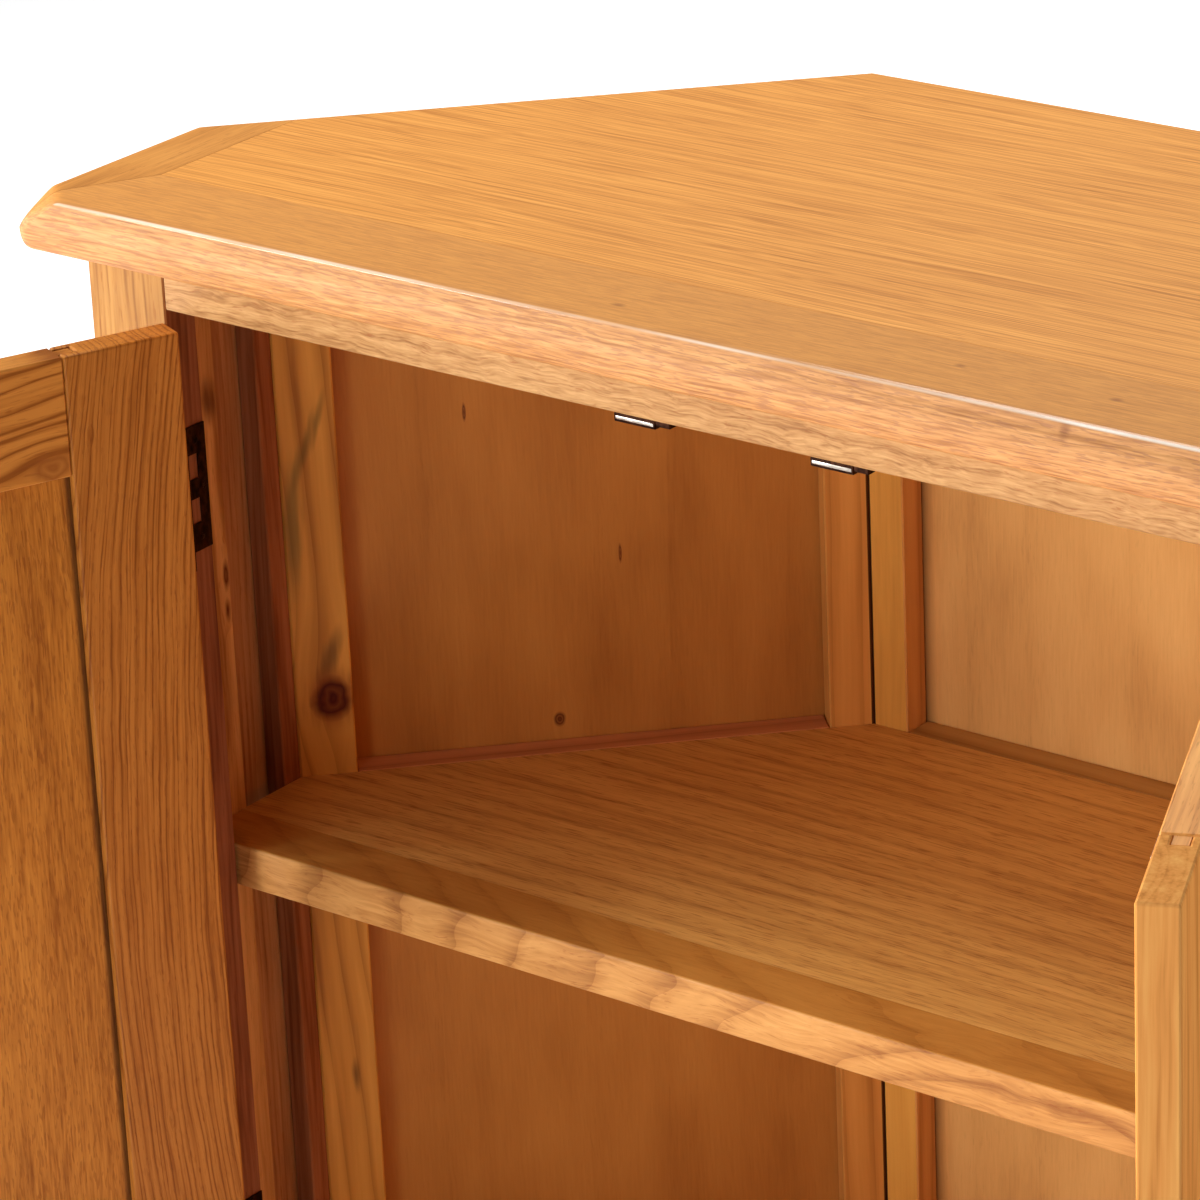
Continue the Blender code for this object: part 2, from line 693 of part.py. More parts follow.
def build_hinge(frame_parent, door_parent, word, level, middle, side, bronze):
    """One butt hinge: the frame leaf with three knuckles and the pin, the door leaf with two."""
    bands = []
    low = middle - HINGE_LENGTH / 2
    for share in HINGE_KNUCKLE_SHARES:
        high = low + HINGE_LENGTH * share
        bands.append((low + HINGE_KNUCKLE_GAP / 2, high - HINGE_KNUCKLE_GAP / 2))
        low = high
    seat = HINGE_GAP / 2 - HINGE_LEAF_SEAT - HINGE_LEAF_THICK
    for own, parent, facing, owner, reach in (
        (0, frame_parent, side, "frame", HINGE_FRAME_REACH),
        (1, door_parent, -side, "door", HINGE_DOOR_REACH),
    ):
        name = f"{word}_{level}_hinge_{owner}_leaf"
        outline = leaf_outline(own, bands, reach)
        ends = sorted((facing * seat, facing * (seat + HINGE_LEAF_THICK)))
        leaf = beam(name, outline, *ends, bronze, parent)
        for index, (low, high) in enumerate(bands):
            if index % 2 == own:
                knuckle = cylinder(f"{name}_knuckle_{index}", HINGE_KNUCKLE_RADIUS, low, high, parent)
                combine(leaf, knuckle, "UNION")
        inner = (bands[0][0] + bands[0][1]) / 2
        outer = (bands[-1][0] + bands[-1][1]) / 2
        if owner == "frame":
            pin = cylinder(f"{name}_pin", HINGE_PIN_RADIUS, inner, outer, parent)
            combine(leaf, pin, "UNION")
        else:
            bore = cylinder(f"{name}_bore", HINGE_BORE_RADIUS, inner, outer, parent)
            combine(leaf, bore, "DIFFERENCE")
        smooth(leaf)


def catch_ends(side):
    """Where the squared body of a catch starts and ends along X; its tab follows on the right."""
    start = CATCH_RIGHT_START if side > 0 else CATCH_LEFT_START
    return start, start + CATCH_LENGTH


def build_catch(parent, word, side, nickel):
    """A catch under the batten: a squared body with a thin screw tab at its right end."""
    start, end = catch_ends(side)
    back = CATCH_FRONT + CATCH_DEPTH
    low_corner = (start, CATCH_FRONT, CATCH_TOP - CATCH_HEIGHT)
    high_corner = (end, back, CATCH_TOP)
    catch = ease(box(f"{word}_catch", low_corner, high_corner, nickel, parent), BOARD_EASE)
    tab_low = (end - CATCH_TAB_LENGTH, CATCH_FRONT, CATCH_TOP - CATCH_TAB_THICK)
    tab_high = (end + CATCH_TAB_LENGTH, back, CATCH_TOP)
    tab = helper_box(f"{word}_catch_tab", tab_low, tab_high, parent)
    combine(catch, tab, "UNION")


def build_strike(parent, word, side, nickel):
    """The plate on the door that the catch holds, in the door's closed place."""
    start, end = catch_ends(side)
    inside = HINGE_PIN_PROUD + DOOR_THICK + JOINT_GAP
    low_corner = (start - side * PIN_X, inside, CATCH_TOP - CATCH_HEIGHT)
    high_corner = (end - side * PIN_X, inside + STRIKE_THICK, CATCH_TOP)
    box(f"{word}_strike_plate", low_corner, high_corner, nickel, parent)


def front_reach():
    """How far the open doors reach forwards of the front arris."""
    far = HINGE_GAP / 2 + DOOR_WIDTH
    faces = (HINGE_PIN_PROUD, HINGE_PIN_PROUD + DOOR_THICK)
    ahead = max(-face * math.cos(DOOR_REST_ANGLE) for face in faces)
    return far * math.sin(DOOR_REST_ANGLE) + ahead - PIN_Y


def build():
    start_scene()
    oak = finish("lacquered_oak", (0.62, 0.33, 0.11), 0.38)
    pine = finish("lacquered_pine", (0.48, 0.22, 0.06), 0.42)
    ply = finish("veneered_ply", (0.42, 0.17, 0.045), 0.42)
    bronze = finish("bronzed_steel", (0.018, 0.010, 0.007), 0.40, 0.9)
    nickel = finish("nickel_plate", (0.62, 0.60, 0.57), 0.28, 1.0)

    middle = (TOP_DEPTH - front_reach()) / 2
    cupboard = pivot("cupboard", location=(0, -middle, 0))
    build_top(cupboard, oak)
    build_face_frame(cupboard, oak)
    corners = [
        (-SIDE_INNER, DIAGONAL_CORNER_Y),
        (-BACK_CORNER_X, BACK_INNER),
        (BACK_CORNER_X, BACK_INNER),
        (SIDE_INNER, DIAGONAL_CORNER_Y),
    ]
    left = (DIAGONAL_FRONT_STILE_WIDTH, DIAGONAL_REAR_STILE_WIDTH)
    back = (BACK_STILE_WIDTH, BACK_STILE_WIDTH)
    right = (DIAGONAL_REAR_STILE_WIDTH, DIAGONAL_FRONT_STILE_WIDTH)
    for word, start, end, widths in zip(
        ("left", "back", "right"), corners, corners[1:], (left, back, right)
    ):
        build_wall(cupboard, word, start, end, widths, pine, ply)
    build_boards(cupboard, oak)
    hinge_levels = {
        "upper": DOOR_HIGH - HINGE_INSET - HINGE_LENGTH / 2,
        "lower": DOOR_LOW + HINGE_INSET + HINGE_LENGTH / 2,
    }
    for word, side in (("left", -1), ("right", 1)):
        build_side_return(cupboard, word, side, oak)
        place = (side * PIN_X, PIN_Y, 0)
        post = pivot(f"{word}_pin_line", cupboard, place)
        door = pivot(f"{word}_door", cupboard, place, side * DOOR_REST_ANGLE)
        build_door(door, word, side, oak)
        for level, height in hinge_levels.items():
            build_hinge(post, door, word, level, height, side, bronze)
        build_catch(cupboard, word, side, nickel)
        build_strike(door, word, side, nickel)


build()
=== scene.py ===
# %% [markdown]
# A corner cupboard is joiner's work: boards with a grain that runs along them, set edge to edge with hairline
# joints. This notebook dresses the plain solids of such a cupboard. The first step loads them. They are
# already at their real size and place, in metres, so everything added later is measured from them.

# %% Load the solids
import math

import bmesh
import bpy
import numpy as np
from mathutils import Matrix, Vector


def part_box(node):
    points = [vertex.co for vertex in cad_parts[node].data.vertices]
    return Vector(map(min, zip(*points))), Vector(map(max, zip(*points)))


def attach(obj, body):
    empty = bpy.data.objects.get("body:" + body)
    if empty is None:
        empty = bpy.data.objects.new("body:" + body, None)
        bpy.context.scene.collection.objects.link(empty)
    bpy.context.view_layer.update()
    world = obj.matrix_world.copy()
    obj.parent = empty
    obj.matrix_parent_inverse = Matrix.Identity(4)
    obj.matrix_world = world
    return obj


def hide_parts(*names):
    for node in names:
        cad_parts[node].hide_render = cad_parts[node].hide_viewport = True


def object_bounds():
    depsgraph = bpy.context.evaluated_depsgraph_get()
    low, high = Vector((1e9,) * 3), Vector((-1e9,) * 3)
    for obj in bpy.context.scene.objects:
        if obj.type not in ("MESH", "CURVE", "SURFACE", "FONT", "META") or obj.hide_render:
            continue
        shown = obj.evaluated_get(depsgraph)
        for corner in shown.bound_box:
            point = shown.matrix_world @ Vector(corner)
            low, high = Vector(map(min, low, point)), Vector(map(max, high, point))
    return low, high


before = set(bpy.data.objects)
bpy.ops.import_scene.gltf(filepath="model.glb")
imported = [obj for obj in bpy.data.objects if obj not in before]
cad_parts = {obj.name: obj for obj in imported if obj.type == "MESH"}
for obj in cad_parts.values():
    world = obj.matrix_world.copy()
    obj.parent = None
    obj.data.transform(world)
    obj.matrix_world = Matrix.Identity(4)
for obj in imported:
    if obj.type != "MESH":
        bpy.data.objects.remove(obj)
cad_low, cad_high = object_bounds()
print("overall size in mm:", [round((high - low) * 1000, 1) for low, high in zip(cad_low, cad_high)])

# %% [markdown]
# The camera stands to the right of the cupboard and looks down into its left half through a long lens, so
# parallel edges stay nearly parallel. Three angles say where it looks. Blender's camera looks down its own
# -Z axis, so it is first tipped up from straight down, then turned about the upright.

# %% Camera
CAMERA_PLACE = (1.4179, -1.8827, 1.6088)
CAMERA_AZIMUTH = math.radians(38.48)
CAMERA_ELEVATION = math.radians(22.43)
CAMERA_ROLL = math.radians(-2.66)
CAMERA_LENS_MM = 162.92

camera = bpy.data.objects.new("camera", bpy.data.cameras.new("camera"))
bpy.context.scene.collection.objects.link(camera)
camera.data.lens = CAMERA_LENS_MM
camera.data.sensor_width = 36
camera.data.clip_end = 50
aim = Matrix.Rotation(CAMERA_AZIMUTH, 4, "Z") @ Matrix.Rotation(math.pi / 2 - CAMERA_ELEVATION, 4, "X")
camera.matrix_world = Matrix.Translation(CAMERA_PLACE) @ aim @ Matrix.Rotation(CAMERA_ROLL, 4, "Z")
bpy.context.scene.camera = camera
print("camera distance from the cupboard in m:", round(math.dist(CAMERA_PLACE, (0, 0, 0.4)), 2))

# %% [markdown]
# A few helpers serve every finish below. Colours are written as sRGB hex, the way a paint chart or a picture
# editor gives them, and turned to the linear values that light is counted in. A node is added with its
# settings and its links in one call, so that a material reads as a list of what it does.

# %% Helpers for finishes
def linear(hex_colour):
    """sRGB hex to linear RGBA: the low part is divided by 12.92, the rest follows a power of 2.4."""
    raw = np.array([int(hex_colour[i:i + 2], 16) for i in (1, 3, 5)]) / 255
    rgb = np.where(raw <= 0.04045, raw / 12.92, ((raw + 0.055) / 1.055) ** 2.4)
    return (*rgb.tolist(), 1.0)


def put(tree, kind, links=None, out=0, stops=(), **settings):
    """Adds one node and returns one of its outputs.

    links pairs an input with the output that feeds it or with a plain value, settings are the node's own
    properties, and stops are the places and colours of a colour ramp.
    """
    node = tree.nodes.new("ShaderNode" + kind)
    for key, value in settings.items():
        setattr(node, key, value)
    for socket, source in (links or {}).items():
        if isinstance(source, bpy.types.NodeSocket):
            tree.links.new(source, node.inputs[socket])
        else:
            node.inputs[socket].default_value = source
    for index, (place, colour) in enumerate(stops):
        elements = node.color_ramp.elements
        element = elements[index] if index < len(elements) else elements.new(place)
        element.position = place
        element.color = colour
    return None if out is None else node.outputs[out]


def grey(value):
    """Red, green and blue all at one linear value."""
    return (value, value, value, 1.0)


def new_material(name):
    """An empty material with the tree to build it in."""
    material = bpy.data.materials.new(name)
    material.use_nodes = True
    material.node_tree.nodes.clear()
    return material, material.node_tree


def dress(node, material):
    """Gives a solid one finish in place of any that it has."""
    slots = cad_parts[node].data.materials
    slots.clear()
    slots.append(material)


print("linear value of a mid orange:", [round(v, 3) for v in linear("#E8A158")[:3]])

# %% [markdown]
# Studio light for furniture is large and soft. The key stands low at the front left, so the front edges and
# the back of the compartment are bright while the inner left side falls into shade. Panels at the left and
# behind light the top, and a smaller lamp high at the left puts a glint on the front arris, over the painted
# highlight that the arris carries. The low panel behind isn't mirrored, because seen from low in front it
# would turn the lacquered top white. A faint surround fills the shadows. The colours are shown as they are,
# with no film curve, because saturated orange wood would turn pale under one.

# %% Light and floor
SURROUND_STRENGTH, FLOOR_GLOW, FLOOR_SIZE = 0.10, 0.28, 24
LAMP_DISTANCE, LAMP_AIM = 3.2, Vector((0, 0, 0.45))

bpy.context.scene.view_settings.view_transform = "Standard"
world = bpy.data.worlds.new("studio_surround")
bpy.context.scene.world = world
world.use_nodes = True
surround = world.node_tree.nodes["Background"].inputs
surround["Color"].default_value = (1, 1, 1, 1)
surround["Strength"].default_value = SURROUND_STRENGTH


def softbox(name, azimuth, elevation, size, power):
    """A square lamp at a distance in the direction of two angles in degrees, turned to face the cupboard."""
    lamp = bpy.data.lights.new(name, "AREA")
    lamp.size = size
    lamp.energy = power
    obj = bpy.data.objects.new(name, lamp)
    bpy.context.scene.collection.objects.link(obj)
    azimuth, elevation = math.radians(azimuth), math.radians(elevation)
    level = math.cos(elevation)
    away = Vector((math.cos(azimuth) * level, math.sin(azimuth) * level, math.sin(elevation)))
    obj.location = LAMP_AIM + away * LAMP_DISTANCE
    obj.rotation_euler = away.to_track_quat("Z", "Y").to_euler()
    return obj


softbox("front_left_key", 225, 12, 1.6, 106)
softbox("front_fill", 272, 12, 1.6, 26)
softbox("left_panel", 180, 20, 1.8, 34)
softbox("high_left_lamp", 205, 46, 0.9, 46)
low_back = softbox("back_panel", 92, 14, 1.8, 96)
low_back.visible_glossy = False
softbox("high_back_panel", 110, 52, 1.8, 40)

floor_material, floor_tree = new_material("pale_studio_floor")
floor_links = {"Base Color": grey(0.97), "Roughness": 0.9, "Emission Color": grey(1)}
floor_links |= {"Emission Strength": FLOOR_GLOW}
floor_shader = put(floor_tree, "BsdfPrincipled", floor_links)
put(floor_tree, "OutputMaterial", {"Surface": floor_shader}, out=None)
bpy.ops.mesh.primitive_plane_add(size=FLOOR_SIZE, location=(0, 0, -0.0005))
floor = bpy.context.object
floor.name = "studio_floor"
floor.data.materials.append(floor_material)

# %% [markdown]
# Wood shows its year rings. A board is sawn out of a log at some distance from the pith, and the rings that
# it cuts make straight lines near its edges and pointed arches in its middle. So the pattern is worked out as
# in the log: distance from a pith line that runs beside the board, bent a little by noise, and cut into
# rings. The same solid pattern then fits the face, the edge and the end of the board.

# %% Where a board lies in its log
MM = 0.001
# How many rings' widths the slow noise moves a ring, so that wet and dry years differ
UNEVEN_YEARS = 1.6


def board_space(tree, centre, axes):
    """Object coordinates turned to millimetres along, across and through one board."""
    place = put(tree, "TexCoord", out="Object")
    turn = Matrix(axes).transposed().to_euler()
    links = {"Vector": place, "Location": centre, "Rotation": turn, "Scale": (MM, MM, MM)}
    return put(tree, "Mapping", links, vector_type="TEXTURE")


def cloudy(tree, place, size, detail=2.0, seed=0.0, out=0):
    """Noise whose features have a size in mm along, and across and through, the board."""
    scale = (1 / size[0], 1 / size[1], 1 / size[1])
    drawn = put(tree, "VectorMath", {0: place, 1: scale}, operation="MULTIPLY")
    links = {"Vector": drawn, "W": seed, "Scale": 1.0, "Detail": detail}
    return put(tree, "TexNoise", links, out=out, noise_dimensions="4D")


def bend(tree, place, size, amount, seed):
    """Moves each point across and through the board by slow noise, by up to about half the amount in mm."""
    colour = cloudy(tree, place, size, 1.0, seed, out=1)
    centred = put(tree, "VectorMath", {0: colour, 1: (-0.5, -0.5, -0.5)}, operation="ADD")
    shift = put(tree, "VectorMath", {0: centred, 1: (0, amount, amount)}, operation="MULTIPLY")
    return put(tree, "VectorMath", {0: place, 1: shift}, operation="ADD")


def swept(tree, place, amount):
    """Curves the grain: across is shifted by the amount in mm times the square of along in 100 mm."""
    square = put(tree, "VectorMath", {0: place, 1: place}, operation="MULTIPLY")
    along = put(tree, "VectorMath", {0: square, 1: (1e-4, 0, 0)}, out="Value", operation="DOT_PRODUCT")
    shift = put(tree, "CombineXYZ", {"Y": along})
    return put(tree, "VectorMath", {0: shift, 1: (0, amount, 0), 2: place}, operation="MULTIPLY_ADD")


def ring_place(tree, place, look):
    """Where each point lies in its year ring, from 0 to 1: distance from the pith over the ring's width."""
    turn = (0, math.radians(look["lean"][1]), math.radians(look["lean"][0]))
    links = {"Vector": place, "Location": (0, -look["pith"][0], -look["pith"][1]), "Rotation": turn}
    in_log = put(tree, "Mapping", links, vector_type="POINT")
    flat = put(tree, "VectorMath", {0: in_log, 1: (0, 1, 1)}, operation="MULTIPLY")
    radius = put(tree, "VectorMath", {0: flat}, out="Value", operation="LENGTH")
    slow = put(tree, "Math", {0: radius, 1: 0.5 / look["ring"]}, operation="MULTIPLY")
    uneven = put(tree, "TexNoise", {"W": slow, "Scale": 1.0, "Detail": 1.0}, noise_dimensions="1D")
    counted = put(tree, "Math", {0: radius, 1: 1 / look["ring"]}, operation="MULTIPLY")
    phase = put(tree, "Math", {0: uneven, 1: UNEVEN_YEARS, 2: counted}, operation="MULTIPLY_ADD")
    return put(tree, "Math", {0: phase}, operation="FRACT")


print("one millimetre in metres:", MM)

# %% [markdown]
# A knot is where a branch grew out of the trunk. The rings of the trunk flow round it, and it has small rings
# of its own. Here each knot draws the board's coordinates in towards its middle before the rings are drawn,
# which pushes the lines out round it, and its own dark rings are laid on top. A stain, as blue stain leaves
# it in pine, is a soft slanted streak with no rings.

# %% Knots and stains
FLOW_LONGWAYS, FLOW_REACH, FLOW_PULL = 2.2, 3.0, -0.85
KNOT_RINGS = [(0.0, 0.75), (0.22, 0.95), (0.40, 0.55), (0.58, 0.92), (0.76, 0.45), (1.0, 0.0)]


def knot_offset(tree, place, spot, longways):
    """The offset in mm from a knot's middle in the plane of the face, shortened along the grain."""
    offset = put(tree, "VectorMath", {0: place, 1: (*spot, 0)}, operation="SUBTRACT")
    return put(tree, "VectorMath", {0: offset, 1: (1 / longways, 1, 0.15)}, operation="MULTIPLY")


def flow_round(tree, place, spot, size):
    """Draws coordinates in towards a knot's middle, so that the lines round it are pushed out."""
    offset = knot_offset(tree, place, spot, FLOW_LONGWAYS)
    length = put(tree, "VectorMath", {0: offset}, out="Value", operation="LENGTH")
    links = {"Value": length, "From Max": size * FLOW_REACH, "To Min": FLOW_PULL, "To Max": 0.0}
    near = put(tree, "MapRange", links, interpolation_type="SMOOTHSTEP")
    shift = put(tree, "VectorMath", {0: offset, 3: near}, operation="SCALE")
    return put(tree, "VectorMath", {0: place, 1: shift}, operation="ADD")


def knot_mark(tree, place, base, x, y, size, longways, dark):
    """Lays a knot's own rings over the base colour: dark heart, paler ring, dark rim, soft halo."""
    shaken = bend(tree, place, (8, 8), size * 0.7, x)
    offset = knot_offset(tree, shaken, (x, y), longways)
    length = put(tree, "VectorMath", {0: offset}, out="Value", operation="LENGTH")
    share = put(tree, "Math", {0: length, 1: size}, operation="DIVIDE")
    stops = [(spread, grey(value)) for spread, value in KNOT_RINGS]
    strength = put(tree, "ValToRGB", {"Fac": share}, stops=stops)
    return put(tree, "Mix", {0: strength, 6: base, 7: linear(dark)}, out=2, data_type="RGBA")


def stain_mark(tree, place, base, x, y, size, longways, lean, dark):
    """Lays a slanted streak over the base colour, strongest in its middle and feathered towards its rim."""
    shaken = bend(tree, place, (25, 3), size * 0.9, x)
    turn = (0, 0, math.radians(lean))
    links = {"Vector": shaken, "Location": (x, y, 0), "Rotation": turn, "Scale": (longways, 1, 9)}
    offset = put(tree, "Mapping", links, vector_type="TEXTURE")
    length = put(tree, "VectorMath", {0: offset}, out="Value", operation="LENGTH")
    links = {"Value": length, "From Min": size * 0.2, "From Max": size, "To Min": 0.75, "To Max": 0.0}
    strength = put(tree, "MapRange", links, interpolation_type="SMOOTHSTEP")
    return put(tree, "Mix", {0: strength, 6: base, 7: linear(dark)}, out=2, data_type="RGBA")


print("rings in a knot:", len(KNOT_RINGS))

# %% [markdown]
# Lacquered wood is built from parts. Dense wood is darker and redder than the board's middle tone, and open
# wood is paler. The grain flows round knots and wanders. Pores are short dark dashes. Narrow edges and the
# outer face may have a tone of their own, partly painted light and shade, a rim may carry painted shade where
# shade gathers, and one arris carries a painted highlight. Each part is worked out as a share from 0 to 1.

# %% Parts of the wood's finish
DARKER, LIGHTER = np.array((0.60, 0.50, 0.42, 1)), np.array((1.28, 1.42, 1.60, 1))
# The painted highlight along one arris: its pale colour, broken up by noise of this size in mm
ARRIS_HIGHLIGHT_COLOUR, ARRIS_HIGHLIGHT_MM = "#FFF3E2", (110, 30)
WANDER_MM, PORE_STEP = (300, 100), 0.08


def tone_stops(middle):
    """Stops of a colour ramp round a middle tone: darker wood is redder too, as its blue falls fastest."""
    tone = np.array(linear(middle))
    return [(0.0, tuple(tone * DARKER)), (0.5, tuple(tone)), (1.0, tuple(np.minimum(tone * LIGHTER, 1)))]


def facing_shares(tree, through):
    """How far the surface is a narrow edge of the board, and how far its outer face: from 0 to 1 each."""
    normal = put(tree, "TexCoord", out="Normal")
    facing = put(tree, "VectorMath", {0: normal, 1: tuple(through)}, out="Value", operation="DOT_PRODUCT")
    outer = put(tree, "MapRange", {"Value": facing, "From Min": 0.6, "From Max": 0.85})
    facing = put(tree, "Math", {0: facing}, operation="ABSOLUTE")
    links = {"Value": facing, "From Min": 0.6, "From Max": 0.85, "To Min": 1.0, "To Max": 0.0}
    return put(tree, "MapRange", links), outer


def painted_shade_share(tree, place, x, y, half_long, half_wide, width, strength):
    """Painted shade: 0 inside a rectangle on a board, full strength outside, reached over a width in mm."""
    offset = put(tree, "VectorMath", {0: place, 1: (x, y, 0)}, operation="SUBTRACT")
    offset = put(tree, "VectorMath", {0: offset}, operation="ABSOLUTE")
    offset = put(tree, "VectorMath", {0: offset, 1: (half_long, half_wide, 0)}, operation="SUBTRACT")
    sides = [put(tree, "VectorMath", {0: offset, 1: side}, out="Value", operation="DOT_PRODUCT")
             for side in ((1, 0, 0), (0, 1, 0))]
    outside = put(tree, "Math", {0: sides[0], 1: sides[1]}, operation="MAXIMUM")
    return put(tree, "MapRange", {"Value": outside, "From Min": -width, "From Max": 0.0, "To Max": strength})


def grain_flow(tree, place, look):
    """The board's coordinates led round its knots, swept, and bent by slow and then by quick noise."""
    for x, y, size, *_ in look["knots"]:
        place = flow_round(tree, place, (x, y), size)
    place = swept(tree, place, look["sweep"])
    place = bend(tree, place, WANDER_MM, look["wander"], look["seed"] + 1)
    return bend(tree, place, look["ripple_mm"], look["ripple"], look["seed"] + 2)


def pore_share(tree, flowing, ringed, shown, look):
    """1 in a pore: dashes where fine noise is high, with fewer of them in the late part of each ring."""
    pore = cloudy(tree, flowing, look["pore_mm"], 1.0, look["seed"] + 5)
    links = {"Value": pore, "From Min": look["pore_from"], "From Max": look["pore_from"] + PORE_STEP}
    pore = put(tree, "MapRange", links)
    early = put(tree, "MapRange", {"Value": ringed, "To Min": 1.0, "To Max": look["late_pores"]})
    for share in (early, look["pores"], shown):
        pore = put(tree, "Math", {0: pore, 1: share}, operation="MULTIPLY")
    return pore


def painted_arris_highlight(tree, place, look, base):
    """A painted highlight, a pale broken line along one arris, over the base colour, and a coat thickening to
    it.
    """
    offset = put(tree, "VectorMath", {0: place, 1: (0, *look["arris"])}, operation="SUBTRACT")
    offset = put(tree, "VectorMath", {0: offset, 1: (0, 1, 1)}, operation="MULTIPLY")
    reach = put(tree, "VectorMath", {0: offset}, out="Value", operation="LENGTH")
    patchy = cloudy(tree, place, ARRIS_HIGHLIGHT_MM, 2.0, look["seed"] + 8)
    patchy = put(tree, "MapRange", {"Value": patchy, "From Min": 0.38, "From Max": 0.62, "To Min": 0.25})
    links = {"Value": reach, "From Min": 0.3, "From Max": 1.2, "To Min": 1.0, "To Max": 0.0}
    painted_highlight = put(tree, "MapRange", links)
    painted_highlight = put(tree, "Math", {0: painted_highlight, 1: patchy}, operation="MULTIPLY")
    base = put(tree, "Mix", {0: painted_highlight, 6: base, 7: linear(ARRIS_HIGHLIGHT_COLOUR)}, out=2, data_type="RGBA")
    links = {"Value": reach, "From Min": 1.5, "From Max": 4.0, "To Min": 1.0, "To Max": look["coat"]}
    return base, put(tree, "MapRange", links)


print("darkest tone of a mid orange:", [round(v, 3) for v in tone_stops("#E8A158")[0][1][:3]])

# %% [markdown]
# One function makes every board's finish from its look. The look names the middle tone, and says how far
# rings, broad streaks, fine fibres and slow clouds move the colour to a darker or a lighter one. They are
# added up to one value before any colour is picked, so that all of them together stay within the tones that
# the wood has. Sizes are in millimetres along and across the grain.

# %% Lacquered wood
# The colour of painted shade along a rim, where a groove or joint falls into shade
PAINTED_SHADE_COLOUR = "#3A1406"
RING_TONES = [(0.0, 0), (0.10, 0.25), (0.32, 0.8), (0.75, 1), (1.0, 0.45)]
RING_MEAN, NOISE_MEAN = 0.62, 0.5
PORE_ROUGH, RELIEF = 0.65, 0.00022


def lacquered_wood(name, centre, axes, look):
    """The shares of rings, fibres, streaks and clouds are added to one value, which picks the tone."""
    material, tree = new_material(name)
    place = board_space(tree, centre, axes)
    seed = look["seed"]
    flowing = grain_flow(tree, place, look)
    ring = ring_place(tree, flowing, look)
    ringed = put(tree, "ValToRGB", {"Fac": ring}, stops=[(spread, grey(tone)) for spread, tone in RING_TONES])
    fibre = cloudy(tree, flowing, look["fibre_mm"], 2.0, seed + 4)
    streak = cloudy(tree, flowing, look["streak_mm"], 1.0, seed + 3)
    cloud = cloudy(tree, place, look["cloud_mm"], 1.0, seed + 6)
    value = -RING_MEAN * look["rings"] - NOISE_MEAN * (look["fibres"] + look["streaks"] + look["clouds"])
    for source, share in ((ringed, "rings"), (fibre, "fibres"), (streak, "streaks"), (cloud, "clouds")):
        value = put(tree, "Math", {0: source, 1: look[share], 2: value}, operation="MULTIPLY_ADD")
    edge, outer = facing_shares(tree, axes[2])
    shown = put(tree, "MapRange", {"Value": edge, "To Min": look["calm"], "To Max": 1.0})
    value = put(tree, "Math", {0: value, 1: shown, 2: 0.5}, operation="MULTIPLY_ADD")
    base = put(tree, "ValToRGB", {"Fac": value}, stops=tone_stops(look["tone"]))
    pore = pore_share(tree, flowing, ringed, shown, look)
    base = put(tree, "Mix", {0: pore, 6: base, 7: linear(look["pore"])}, out=2, data_type="RGBA")
    for stain in look["stains"]:
        base = stain_mark(tree, place, base, *stain)
    for knot in look["knots"]:
        base = knot_mark(tree, place, base, *knot)
    # A rim gets painted shade, darker towards the edges of the clear rectangle
    if look["rim"]:
        dark = painted_shade_share(tree, place, *look["rim"])
        base = put(tree, "Mix", {0: dark, 6: base, 7: linear(PAINTED_SHADE_COLOUR)}, out=2, data_type="RGBA")
    # Narrow edges and the outer face take gains that are partly painted light and shade
    for share, gain in ((edge, look["edge"]), (outer, look["outside"])):
        if gain:
            face_tone_with_painted_light = put(tree, "VectorMath", {0: base, 1: gain}, operation="MULTIPLY")
            base = put(tree, "Mix", {0: share, 6: base, 7: face_tone_with_painted_light}, out=2, data_type="RGBA")
    coat = look["coat"]
    # The front arris gets a painted highlight, a pale broken line, and a thicker coat
    if look["arris"]:
        base, coat = painted_arris_highlight(tree, place, look, base)
    relief = put(tree, "Math", {0: fibre, 1: 0.35}, operation="MULTIPLY")
    relief = put(tree, "Math", {0: relief, 1: pore}, operation="SUBTRACT")
    normal = put(tree, "Bump", {"Height": relief, "Strength": 0.6, "Distance": RELIEF})
    rough = put(tree, "MapRange", {"Value": pore, "To Min": look["rough"], "To Max": PORE_ROUGH})
    shader_links = {"Base Color": base, "Roughness": rough, "Normal": normal, "Coat Weight": coat}
    shader_links |= {"Coat Roughness": 0.16, "Specular IOR Level": look["gloss"]}
    shader = put(tree, "BsdfPrincipled", shader_links)
    put(tree, "OutputMaterial", {"Surface": shader}, out=None)
    return material


print("depth of the grain in mm:", round(RELIEF / MM, 2))

# %% [markdown]
# The cupboard has three timbers: oak in front, on the doors and inside on the shelf, pine for the frames of
# the walls, and plywood for their panels. All are lacquered, so one set of settings serves them, and each
# timber names only what differs. A look's ring is the width of a year in mm. Pith is how far across and
# through the log's middle lies, and lean by how many degrees the board is tilted to it. Sweep, wander and
# ripple bend the grain. Calm is how much of the figure shows on the broad faces. Edge and outside are gains
# of red, green and blue, which paint in part how light and shade fall on a board's narrow edges and outer
# face.

# %% Three timbers
# Satin lacquered oak: golden with fine open pores, and a soft sheen rather than a mirror
OAK = dict(
    tone="#DC9148", pore="#8A4A18", ring=5, rings=0.35, pith=(0, -80), lean=(1, 1), sweep=0, wander=12,
    ripple=2, ripple_mm=(50, 16), streaks=0.9, streak_mm=(120, 6), fibres=0.8, fibre_mm=(45, 1.6), clouds=0.5,
    cloud_mm=(150, 40), pores=0.45, pore_mm=(9, 0.9), pore_from=0.6, late_pores=0.35, gloss=0.15, rough=0.42,
    coat=0.03, calm=1, edge=(), outside=(), rim=(), arris=(), stains=(), knots=(), seed=0,
)
